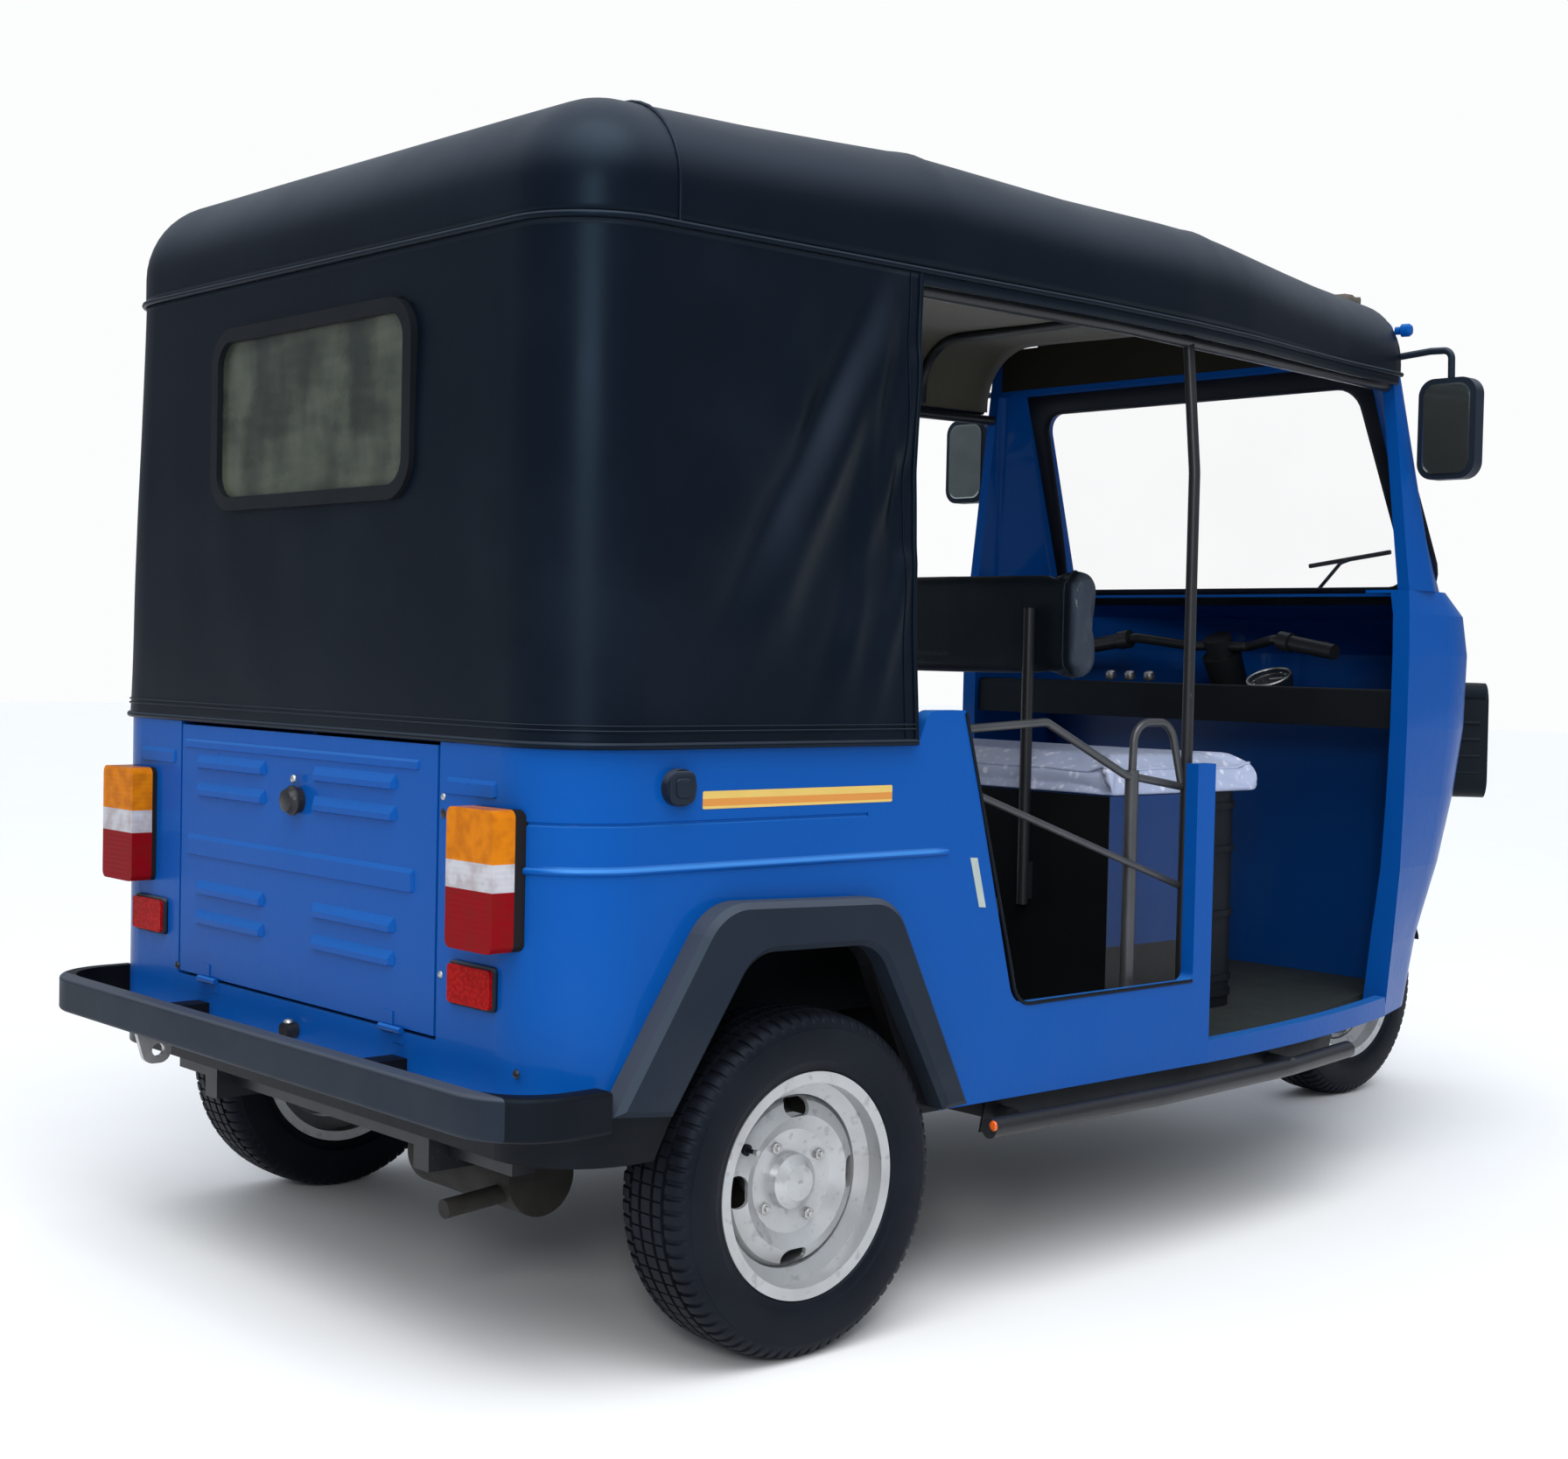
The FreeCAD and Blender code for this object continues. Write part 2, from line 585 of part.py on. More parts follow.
deck_length = REAR - WALL - RISER - 110
luggage_floor = block((16 - ROOM, AXLE + 120, DECK - 1), (ROOM - 16, REAR - WALL - 40, DECK + 4))
node("rear_deck", shaped("rear_deck", plate(deck_section, RISER + deck_length, deck_length, "y").fuse(
    plate(riser, RISER + 6, 6, "y")).fuse(
    plate([(-ROOM - 6, DECK - 6, 0), (ROOM + 6, DECK - 6, 0), (ROOM + 6, DECK, 0), (-ROOM - 6, DECK, 0)],
          REAR - WALL - 0.3, 112, "y")).fuse(luggage_floor).removeSplitter()))
RAIL = 300
RAIL_FRONT, TAIL = FRONT + RADIUS + 146, REAR - 100
rail = block((RAIL, RAIL_FRONT, LOW - 60), (RAIL + 40, REAR - WALL, LOW))
rails = [rail, other_side(rail)]
crossings = [block((-half, y, LOW - 40), (half, y + 40, LOW)) for y, half in (
    (JAMB_REAR + 22, JAMB_HALF - 74), (POST + 2, HALF - 56), (RISER - 45, HALF - 56), (TAIL, HALF - 176))]
uprights = [block((x, y, LOW), (x + 40, y + 40, DECK - 6)) for x in (RAIL, -RAIL - 40)
            for y in (RISER + 55, TAIL)]
AXIS = Vector(0, math.sin(RAKE), math.cos(RAKE))


def on_axis(z):
    """The point of the steering axis at height z."""
    base = FRONT + float(S.fork_offset)
    return Vector(0, base + (z - float(S.tyre_radius)) * math.tan(RAKE), z)


STEM, CROWN_Z = 22, 2 * RADIUS - 3
TUBE_LOW = CROWN_Z + 165
TUBE_LONG = (float(S.dash_height) - 139 - TUBE_LOW) / math.cos(RAKE)
head = Part.makeCylinder(34, TUBE_LONG, on_axis(TUBE_LOW), AXIS)
head = head.cut(Part.makeCylinder(STEM + 0.6, 400, on_axis(TUBE_LOW - 70), AXIS))
strut_top = on_axis(TUBE_LOW + 20) + Vector(20, 22, 0)
struts = [bar((x * strut_top.x, strut_top.y, strut_top.z), (x * (RAIL + 20), RAIL_FRONT + 18, LOW - 22),
              14) for x in (1, -1)]
ladder = rails[0].multiFuse(rails[1:] + crossings + uprights)
column = head.multiFuse([strut.cut(Part.makeCylinder(STEM + 8, 600, on_axis(CROWN_Z - 5), AXIS))
                         for strut in struts])
node("chassis_frame", shaped("chassis_frame", ladder.fuse(column).removeSplitter()))


def power_unit():
    """Crankcase and gearbox between the rails, with a finned barrel leaning forward and a starter drum."""
    low = LOW - 96
    case = plate([(-150, low, 40), (150, low, 40), (150, low + 150, 30), (-150, low + 150, 30)], AXLE + 40,
                 210, "y")
    gearbox = bar((-RAIL + 0.3, AXLE - 20, low + 76), (RAIL - 0.3, AXLE - 20, low + 76), 62)
    barrel_run = [(AXLE - 150, low + 87), (AXLE - 380, low + 112)]
    (y0, z0), (y1, z1) = barrel_run
    barrel = bar((-40, y0, z0), (-40, y1, z1), 52)
    fins = []
    for count in range(9):
        share = 0.12 + 0.095 * count
        y, z = y0 + (y1 - y0) * share, z0 + (z1 - z0) * share
        fins.append(bar((-40, y, z), (-40, y - 6, z + 0.66), 78 if count < 7 else 66))
    drum = bar((150, AXLE - 70, low + 70), (212, AXLE - 70, low + 70), 58)
    return case.multiFuse([gearbox, barrel, drum] + fins)


node("engine", shaped("engine", power_unit()))
SILENCER_Y = REAR - 170
muffler = bar((-420, SILENCER_Y, LOW - 72), (-150, SILENCER_Y, LOW - 72), 58)
tail_pipe = bar((-390, SILENCER_Y, LOW - 90), (-390, REAR - 20, LOW - 102), 14)
hanger = block((-330, SILENCER_Y - 6, LOW - 60), (-302, SILENCER_Y + 6, LOW - 0.3))
node("silencer", shaped("silencer", muffler.multiFuse([tail_pipe, hanger]).cut(ladder)))

# ---- rear axle: trailing arms that carry drums -------------------------------------------------------
DRUM_OUT = float(HALF_TRACK - S.hub_reach) - 0.3
arm = bar((DRUM_OUT - 50, AXLE, RADIUS), (DRUM_OUT, AXLE, RADIUS), 95)
PIVOT_Z = LOW - 37
swing_arm = [(AXLE - 330, PIVOT_Z - 35, 20), (AXLE + 40, RADIUS - 30, 20), (AXLE + 40, RADIUS + 30, 20),
             (AXLE - 330, PIVOT_Z + 25, 20)]
arm = arm.fuse(plate(swing_arm, DRUM_OUT - 90, 40, "x"))
arm = arm.fuse(bar((RAIL + 40.3, AXLE - 310, PIVOT_Z), (DRUM_OUT - 50, AXLE - 310, PIVOT_Z),
                   24)).removeSplitter()
node("trailing_arms", shaped("trailing_arms", both(arm)))

# ---- front body: cowl, jambs, inner panel, windscreen frame ------------------------------------------
# Plan of the cowl at rising heights. Its rear edge and shoulder are given outward from the pillars,
# its nose from the middle, and both by their distance behind the front axle, with a corner radius.
COWL = (
    (LOW, -2, (-59, 500, 200), (350, RADIUS + 91, 110)),
    (470, 12, (-44, 480, 210), (340, RADIUS + 46, 130)),
    (620, 24, (-14, 450, 240), (290, 160, 160)),
    (760, 28, (1, 425, 260), (240, 20, 170)),
    (900, 30, (11, 405, 280), (215, -45, 160)),
    (1050, 30, (14, 400, 280), (200, -50, 150)),
    (1130, 28, (14, 415, 250), (220, 40, 150)),
    (1178, 25, (1, 480, 110), (400, 320, 120)),
)


def cowl_plan(level, inset, rear):
    z, edge, (sx, sy, sr), (nx, ny, nr) = level
    return rounded_wire(symmetric([
        (JAMB_HALF + edge - inset, rear, 0),
        (JAMB_HALF + sx - inset, FRONT + sy + inset * 0.3, sr - inset * 0.5),
        (nx - inset * 0.6, FRONT + ny + inset, nr - inset * 0.5)]), z)


COWL_WALL = 34
cowl_outside = loft(*(cowl_plan(level, 0, JAMB_REAR) for level in COWL))
levels = [(COWL[0][0] - 60,) + COWL[0][1:]] + list(COWL[:-1]) + [(COWL[-1][0] - 6,) + COWL[-1][1:]]
cowl_inside = loft(*(cowl_plan(level, COWL_WALL, JAMB_REAR + 80) for level in levels))
cowl = cowl_outside.cut(cowl_inside)
fork_well = Part.makeCylinder(float(S.steer_room), 235, on_axis(CROWN_Z - 125), AXIS)
half_dash, SCREEN_FOOT = JAMB_HALF - 74, FRONT + float(S.screen_behind)
roofless = plate([(-half_dash, JAMB_REAR + 10, 0), (-half_dash, SCREEN_FOOT + 46, 0),
                  (half_dash, SCREEN_FOOT + 46, 0),
                  (half_dash, JAMB_REAR + 10, 0)], 1150, 60)
stem_hole = Part.makeCylinder(STEM + 8, 260, on_axis(CROWN_Z - 25), AXIS)
cowl = cowl.cut(fork_well).cut(stem_hole).cut(roofless)
node("front_cowl", shaped("front_cowl", cowl))
TOE_Y = FRONT + 454
floor = plate([
    (INSIDE - 0.3, RISER, 0), (INSIDE - 0.3, POST, 0), (INSIDE - 39, ENTRY_BOW, 900),
    (JAMB_HALF - 62, JAMB_REAR, 0),
    (JAMB_HALF - 100, TOE_Y, 0), (100 - JAMB_HALF, TOE_Y, 0), (62 - JAMB_HALF, JAMB_REAR, 0),
    (39 - INSIDE, ENTRY_BOW, 900), (0.3 - INSIDE, POST, 0), (0.3 - INSIDE, RISER, 0)], LOW + 0.3,
    ENTRY - LOW - 4.3)
node("floor_pan", shaped("floor_pan", largest(floor.cut(cowl).cut(side).cut(other_side(side)))))
kick_half = JAMB_HALF - 84
inner = plate([(-kick_half, ENTRY - 3.7, 0), (kick_half, ENTRY - 3.7, 0), (kick_half + 8, 900, 0),
               (-kick_half - 8, 900, 0)], TOE_Y, 6, "y")
node("inner_front_panel", shaped("inner_front_panel", largest(inner.cut(cowl))))

LEAN, PANE_LOW, PANE_HIGH = flat(S.screen_lean, S.screen_low, S.screen_high)
SLOPE = LEAN / (PANE_HIGH - PANE_LOW)
SCREEN_Z = (PANE_LOW - 12, PANE_HIGH + 148)


def screen_plan(z, inset, rear):
    """Plan of the windscreen frame at one height: it leans back and narrows as it rises."""
    share = (z - SCREEN_Z[0]) / (SCREEN_Z[1] - SCREEN_Z[0])
    half, corner = JAMB_HALF + 23 - 68 * share, JAMB_HALF - 54 - 52 * share
    front, side_front = SCREEN_FOOT - 8 + SLOPE * (z - PANE_LOW), JAMB_REAR - 98 + 70 * share
    return rounded_wire(symmetric([
        (half - inset, rear, 0), (half - inset, side_front + inset, 28),
        (corner - inset, front + inset, 40)]), z)


def screen_span(inset, rear, low, high):
    return loft(screen_plan(low, inset, rear), screen_plan(high, inset, rear))


LOW_HALF = JAMB_HALF - float(S.screen_inset)
HIGH_HALF = LOW_HALF - float(S.screen_taper)


def screen_opening(inset):
    return plate([
        (inset - LOW_HALF, PANE_LOW + inset, 45), (LOW_HALF - inset, PANE_LOW + inset, 45),
        (HIGH_HALF - inset, PANE_HIGH - inset, 50), (inset - HIGH_HALF, PANE_HIGH - inset, 50)],
        JAMB_REAR + 22, 400, "y")


FRAME_REAR = JAMB_REAR - 4
frame_shell = screen_span(0, FRAME_REAR,
                          *SCREEN_Z).cut(screen_span(26, JAMB_REAR + 60, SCREEN_Z[0] - 20, PANE_HIGH + 40))
foot_half, head_half = JAMB_HALF + 66, JAMB_HALF - 29
front_view = plate([(-foot_half, SCREEN_Z[0] - 78, 0), (foot_half, SCREEN_Z[0] - 78, 0),
                    (head_half, SCREEN_Z[1], 130),
                    (-head_half, SCREEN_Z[1], 130)], JAMB_REAR + 62, 400, "y")
windscreen_frame = frame_shell.common(front_view).cut(screen_opening(0))
node("windscreen_frame", shaped("windscreen_frame", windscreen_frame))


def slanted(front, thickness):
    """A thin slab parallel to the screen, front being its distance behind the frame's front plane."""
    low, high = PANE_LOW - 40, PANE_HIGH + 100
    ends = [SCREEN_FOOT - 8 + front + (z - PANE_LOW) * SLOPE for z in (low, high)]
    return plate([(ends[0], low, 0), (ends[1], high, 0), (ends[1] + thickness, high, 0),
                  (ends[0] + thickness, low, 0)],
                 -JAMB_HALF, 2 * JAMB_HALF, "x")


node("windscreen", shaped("windscreen", screen_opening(0.3).common(slanted(9, 5))))
WIPER = Vector(-200, SCREEN_FOOT, PANE_LOW)
wiper = bar(WIPER + Vector(0, 6, -11), WIPER + Vector(0, -30, -14), 8)
wiper = wiper.multiFuse([
    bar(WIPER + Vector(0, -26, -12), WIPER + Vector(-85, 2, 56), 4),
    bar(WIPER + Vector(-85, 2, 56), WIPER + Vector(-118, 14, 63), 4),
    bar(WIPER + Vector(-15, 13.5, 50), WIPER + Vector(-220, 23, 76), 5)])
node("wiper", shaped("wiper", largest(wiper.cut(windscreen_frame).cut(cowl_outside))))
VISOR = JAMB_HALF - 174
node("front_visor", shaped("front_visor", plate(
    [(-VISOR, FRAME_REAR - 2, 0), (VISOR, FRAME_REAR - 2, 0), (VISOR - 15, FRAME_REAR - 134, 60),
     (15 - VISOR, FRAME_REAR - 134, 60)],
    SCREEN_Z[1] + 0.3, 10)))

# ---- dashboard, headlamps, mirrors -------------------------------------------------------------------
DASH = float(S.dash_height)
TRAY_FRONT = SCREEN_FOOT + 28
tray_section = [
    (JAMB_REAR - 10, DASH - 79, 0), (JAMB_REAR - 10, DASH, 8), (JAMB_REAR - 28, DASH, 8),
    (JAMB_REAR - 38, DASH - 52, 0),
    (TRAY_FRONT, DASH - 52, 0), (TRAY_FRONT, DASH - 79, 0)]
tray = plate(tray_section, 14 - JAMB_HALF, 2 * JAMB_HALF - 28, "x").cut(cowl_outside.cut(cowl_inside))
dial = bar((-200, TRAY_FRONT + 78, DASH - 51.9), (-200, TRAY_FRONT + 66, DASH - 8), 52)
node("dashboard", shaped("dashboard", tray.fuse(dial)))

LAMP_YAW, LAMP_AT, LAMP_LOW = 49, Vector(JAMB_HALF / 2 + 103, FRONT + 172, 0), 742

def lamp_block(width, low, high, reach, corner, back):
    """A headlamp body: a rounded outline pushed out of the cowl's slanting nose side."""
    body = plate([(-width, low, corner), (width, low, corner), (width - 8, high, corner),
                  (8 - width, high, corner)],
                 0, reach, "y")
    body.translate(Vector(0, back, 0))
    body.rotate(Vector(), Vector(0, 0, 1), LAMP_YAW)
    body.translate(LAMP_AT)
    return body


surround = lamp_block(100, LAMP_LOW, LAMP_LOW + 250, 105, 45, 30)
lip = lamp_block(104, LAMP_LOW + 214, LAMP_LOW + 246, 98, 14, 30)
ribs = [lamp_block(103, LAMP_LOW + rise, LAMP_LOW + rise + 9, 88, 3, 30) for rise in (52, 88, 124, 160)]
surround = surround.multiFuse([lip] + ribs).cut(lamp_block(78.3, LAMP_LOW + 25.7, LAMP_LOW + 208.3, 200, 50,
    -35.7))
node("headlamp_surrounds", shaped("headlamp_surrounds", both(surround).cut(cowl_outside)))
lens = lamp_block(77.7, LAMP_LOW + 26.3, LAMP_LOW + 207.7, 28, 49, -36)
node("headlamps", shaped("headlamps", both(lens).cut(cowl_outside)))

GLASS_IN, GLASS_OUT, GLASS_Z = JAMB_HALF + 11, JAMB_HALF + 138, PANE_HIGH - 202
mirror_glass = plate([(GLASS_IN, GLASS_Z, 34), (GLASS_OUT, GLASS_Z, 34), (GLASS_OUT, GLASS_Z + 200, 34),
                      (GLASS_IN, GLASS_Z + 200, 34)],
                     JAMB_REAR - 36, 30, "y")
mirror_arm = bent_tube([(JAMB_HALF + x, JAMB_REAR - y, PANE_HIGH + z) for x, y, z in (
    (-74, 38, 46), (26, 52, 56), (72, 52, 54), (74, 51, -8))], 7, 18)
mirrors = largest(mirror_glass.fuse(mirror_arm).cut(screen_span(0, FRAME_REAR, *SCREEN_Z)))
node("mirrors", shaped("mirrors", both(mirrors)))

# ---- canopy: roof, curtain, rear window, liner, tube frame -------------------------------------------
SEAM, BACK = flat(S.seam_height, CANOPY_REAR)
HEM_HALF, ROOF_HALF, FRONT_HALF = flat(HALF + S.hem_flare, HALF - S.roof_inset,
                                       JAMB_HALF - S.roof_front_inset)
ROOF_FRONT, TAPER = FRAME_REAR + 0.3, AXLE - 740
SKIN, ROLL, ROOF = flat(S.canopy_skin, S.roof_roll, S.roof_top)
CROWN_RISE, CROWN_FALL = flat(S.roof_rise, S.roof_fall)
BOWS = ((BACK + 60, ROOF - 2), (AXLE - 440, ROOF + CROWN_RISE), (ROOF_FRONT - 60, ROOF - CROWN_FALL))


def roof_block(inset, low):
    """The roof as a rolled slab: a tapering plan, ridged over the bows, rolled down at its rear and sides."""
    half, front_half, back = ROOF_HALF - inset, FRONT_HALF - inset, BACK - inset
    plan = rounded_wire([
        (-half, back, CORNER - inset), (half, back, CORNER - inset), (half, TAPER, 900),
        (front_half, ROOF_FRONT - 1.2 * inset, 0), (-front_half, ROOF_FRONT - 1.2 * inset, 0),
        (-half, TAPER, 900)], low)
    crown = [Vector(-half - 10, y, z - inset) for y, z in BOWS]
    feet = [Vector(-half - 10, back + 60, low), Vector(-half - 10, ROOF_FRONT - 60, low)]
    section = Part.Wire([
        Part.makeLine(feet[1], feet[0]), Part.makeLine(feet[0], crown[0]), Part.Arc(*crown).toShape(),
        Part.makeLine(crown[2], feet[1])])
    slab = Part.Face(section).extrude(Vector(2 * half + 20, 0, 0))
    slab = slab.common(Part.Face(plan).extrude(Vector(0, 0, 400)))
    rims = [edge for edge in slab.Edges if is_roof_rim(edge.BoundBox, low, back)]
    return slab.makeFillet(ROLL - inset, rims)


def is_roof_rim(span, low, back):
    """True for the roof's upper edges along its sides and rear, but not across it or at its front."""
    if span.ZMin < low + 60 or span.YMax < ROOF_FRONT + 5:
        return False
    return span.XLength < 2 * FRONT_HALF - 40 or span.YMin > back - 5


roof = roof_block(0, SEAM).cut(roof_block(SKIN, SEAM - 1))
node("canopy_roof", shaped("canopy_roof", roof))


def liner_and_curtain():
    liner = roof_block(SKIN + 0.3, SEAM + 12).cut(roof_block(SKIN + 4, SEAM + 11))
    liner = liner.cut(block((-HALF, ROOF_FRONT - 100, SEAM), (HALF, ROOF_FRONT, ROOF + 100)))
    hem, seam = float(S.body_top) + 0.3, SEAM - 0.3
    thick = SKIN + 4

    def plan(half, back, inset, z, ahead):
        return rounded_wire([
            (-half + inset, CURTAIN - ahead, 0), (half - inset, CURTAIN - ahead, 0),
            (half - inset, back - inset, CORNER - inset),
            (-half + inset, back - inset, CORNER - inset)], z)

    outside = loft(plan(HEM_HALF, REAR + 2, 0, hem, 0), plan(ROOF_HALF, BACK, 0, seam, 0))
    inside = loft(plan(HEM_HALF, REAR + 2, thick, hem, 50), plan(ROOF_HALF, BACK, thick, seam, 50))
    return liner, outside.cut(inside)


WINDOW, SILL_Z, HEAD_Z = flat(S.window_half, S.window_low, S.window_high)


def window_block(inset, start, depth):
    return plate([(inset - WINDOW, SILL_Z + inset, 62 - inset), (WINDOW - inset, SILL_Z + inset, 62 - inset),
                  (WINDOW - inset, HEAD_Z - inset, 62 - inset), (inset - WINDOW, HEAD_Z - inset, 62 - inset)],
                 start, depth, "y")


liner, curtain = liner_and_curtain()
node("roof_liner", shaped("roof_liner", liner))
node("canopy_curtain", shaped("canopy_curtain", curtain.cut(window_block(-0.3, REAR + 40, 100))))
node("rear_window_rubber", shaped("rear_window_rubber",
                                  window_block(0, BACK + 14, 24).cut(window_block(22, BACK + 40, 100))))
node("rear_window", shaped("rear_window", window_block(22.3, BACK + 4, 4)))

TUBE = float(S.tube) / 2
POST_TUBE, TUBE_X, RAIL_Z = TUBE - 1, INSIDE - TUBE - 6, SEAM - TUBE - 10
POST_X = TUBE_X - 2


def rail_half(y):
    """Half width of the canopy's rail at y: it closes in ahead of the taper."""
    share = max(0, (TAPER - y) / (TAPER - ROOF_FRONT - 3))
    return TUBE_X + (FRONT_HALF - 34 - TUBE_X) * share


def canopy_frame():
    half_rail = [(TUBE_X, BACK - 34), (TUBE_X, TAPER), (FRONT_HALF - 34, ROOF_FRONT + 3)]
    route = [(-x, y, RAIL_Z) for x, y in reversed(half_rail)] + [(x, y, RAIL_Z) for x, y in half_rail]
    pieces = [bent_tube(route, TUBE, (900, 105, 105, 900))]
    for y, peak in ((AXLE - 276, ROOF + CROWN_RISE - 2), (POST - 38, ROOF + 8)):
        top, half = peak - SKIN - 5 - TUBE, rail_half(y)
        pieces.append(bent_tube([(-half, y, RAIL_Z), (-half, y, top), (half, y, top), (half, y, RAIL_Z)],
                                POST_TUBE, 120))
    middle, lean = POST + 25, SEAM - 250
    post = bent_tube([(POST_X, middle, ENTRY + 0.3), (POST_X, middle, lean),
                      (rail_half(middle), middle, RAIL_Z)], POST_TUBE, 200)
    pieces += [post, other_side(post)]
    for y in (AXLE - 240, AXLE + 80, AXLE + 290):
        post = bar((TUBE_X, y, HOUSING + 0.3), (TUBE_X, y, RAIL_Z), POST_TUBE)
        pieces += [post, other_side(post)]
    tie = bar((-TUBE_X, AXLE + 79, 1000), (TUBE_X, AXLE + 79, 1000), POST_TUBE - 1)
    return pieces[0].multiFuse(pieces[1:] + [tie])


node("canopy_frame", shaped("canopy_frame", canopy_frame()))

# ---- seats -------------------------------------------------------------------------------------------
BENCH, B_TOP, PAD = flat(S.seat_half, S.seat_height, S.cushion)
B_REAR = POST + 4
B_FRONT = B_REAR - float(S.seat_depth)
B_SPLIT = B_FRONT + 172


def rounded_slab(half, rear, front, low, height, r_rear, r_front):
    return plate([(-half, rear, r_rear), (-half, front, r_front), (half, front, r_front),
                  (half, rear, r_rear)], low, height)


BOX_LOW, BOX_TOP = ENTRY - 3.7, B_TOP - PAD
node("driver_seat_base", shaped("driver_seat_base", rounded_slab(
    BENCH - 6, B_REAR, B_SPLIT + 0.3, BOX_LOW, BOX_TOP - BOX_LOW, 0, 0)))
cover = rounded_slab(BENCH - 10, B_SPLIT, B_FRONT + 16, BOX_LOW, BOX_TOP - BOX_LOW, 0, 86)
bands = [rounded_slab(BENCH - 6, B_SPLIT, B_FRONT + 12, BOX_LOW + share * (BOX_TOP - BOX_LOW), 12, 0, 90)
         for share in (0.05, 0.12, 0.42, 0.72, 0.92)]
node("seat_front_cover", shaped("seat_front_cover", cover.multiFuse(bands)))
node("driver_cushion", shaped("driver_cushion",
                              rounded_slab(BENCH, B_REAR, B_FRONT, BOX_TOP + 0.3, PAD - 0.3, 20, 60)))
LEAN_LOW, LEAN_HIGH, LEAN_REAR = B_TOP + 150, B_TOP + 330, POST + 6
back_slab = plate([(POST - 84, LEAN_LOW, 30), (LEAN_REAR, LEAN_LOW, 12), (LEAN_REAR, LEAN_HIGH, 30),
                   (POST - 68, LEAN_HIGH, 40)],
                  90 - BENCH, 2 * BENCH - 180, "x")
node("driver_backrest", shaped("driver_backrest", back_slab))
STAY_X, STAY_Y = BENCH - 200, LEAN_REAR + TUBE + 0.3
upright = bar((STAY_X, STAY_Y, BOX_TOP - 215), (STAY_X, STAY_Y, LEAN_HIGH - 60), TUBE).fuse(
    block((STAY_X - 12, B_REAR + 0.3, BOX_TOP - 205), (STAY_X + 12, STAY_Y + 1, BOX_TOP - 135)))
node("seat_uprights", shaped("seat_uprights", both(upright)))
node("passenger_seat_base", shaped("passenger_seat_base", rounded_slab(
    ROOM - 0.3, AXLE - 40, RISER + 20, DECK + 0.3, HOUSING - DECK - 0.3, 0, 0)))
BENCH_TOP, WIDE = HOUSING + float(S.bench_pad), INSIDE - 50
node("passenger_cushion", shaped("passenger_cushion", rounded_slab(
    WIDE, AXLE - 28, RISER + 8, HOUSING + 0.3, BENCH_TOP - HOUSING - 0.3, 20, 40)))
BACK_TOP, BACK_REAR = BENCH_TOP + float(S.back_height), AXLE + 69.7
seat_back = plate([(AXLE - 27.5, HOUSING + 1, 20), (BACK_REAR, HOUSING + 1, 10), (BACK_REAR, BACK_TOP, 26),
                   (AXLE + 6, BACK_TOP, 28)],
                  -WIDE, 2 * WIDE, "x")
node("passenger_backrest", shaped("passenger_backrest", seat_back))

# ---- side guards between the body and the centre posts -----------------------------------------------
GUARD_X, NEAR_POST = HALF - 64, POST + 25 + POST_TUBE + 0.3
BODY_FRONT, STANDARD = AXLE - 338, POST + 152
guard = bar((GUARD_X, STANDARD, ENTRY + 0.3), (GUARD_X, STANDARD, TOP - 54), 12)
guard = guard.multiFuse([
    bent_tube([(INSIDE - 0.3, BODY_FRONT + 26, TOP - 18), (GUARD_X, BODY_FRONT - 34, TOP + 18),
               (GUARD_X, STANDARD + 227, TOP + 30),
               (GUARD_X, STANDARD + 18, TOP - 62), (POST_X - 3, NEAR_POST, TOP - 84)], 7, 30),
    bent_tube([(INSIDE - 0.3, BODY_FRONT - 12, TOP - 60), (GUARD_X, BODY_FRONT - 112, TOP - 90),
               (POST_X - 3, NEAR_POST, TOP - 258)], 6, 30),
    bent_tube([(GUARD_X, STANDARD, TOP - 70), (GUARD_X, STANDARD - 4, TOP + 28),
               (GUARD_X + 8, STANDARD - 94, TOP + 28),
               (POST_X - 3, NEAR_POST, TOP - 78)], 7, 36)])
guard_cut = guard.cut(side).cut(bar((POST_X, POST + 25, LOW), (POST_X, POST + 25, SEAM - 300),
                                    POST_TUBE + 0.3))
node("side_guards", shaped("side_guards", both(guard_cut)))

# ---- rear and side fittings --------------------------------------------------------------------------
body_skin = side.fuse(other_side(side)).fuse(block((-REAR_HALF, REAR - WALL, LOW), (REAR_HALF, REAR, TOP)))
LAMP_IN, LAMP_OUT, LAMP_TOP = HALF - 198, HALF - 86, TOP - 84
lamp = plate([(LAMP_IN, LAMP_TOP - 194, 12), (LAMP_OUT, LAMP_TOP - 194, 12), (LAMP_OUT, LAMP_TOP, 12),
              (LAMP_IN, LAMP_TOP, 12)],
             REAR + 45, 62, "y")
lamp = largest(lamp.cut(body_skin).cut(side))
node("tail_lamps", shaped("tail_lamps", both(lamp)))
REFLECT_Z = LAMP_TOP - 278
reflector = plate([(HALF - 240, REFLECT_Z, 6), (HALF - 136, REFLECT_Z, 6), (HALF - 136, REFLECT_Z + 54, 6),
                   (HALF - 240, REFLECT_Z + 54, 6)],
                  REAR + 12.3, 12, "y")
node("reflectors", shaped("reflectors", both(reflector)))
FUEL = Vector(-HALF - 0.3, AXLE + 242, TOP - 53)
node("fuel_cap", shaped("fuel_cap", bar(FUEL, FUEL - Vector(14, 0, 0), 26)))
BUFFER_Z = float(S.hatch_bottom) - 46
node("hatch_buffer", shaped("hatch_buffer", bar((0, REAR + 0.3, BUFFER_Z), (0, REAR + 22, BUFFER_Z), 13)))



def is_outer(span):
    """True for an edge on the outside of the bumper."""
    return span.YMax > B_BACK - 1 or max(abs(span.XMin), abs(span.XMax)) > B_HALF - 1


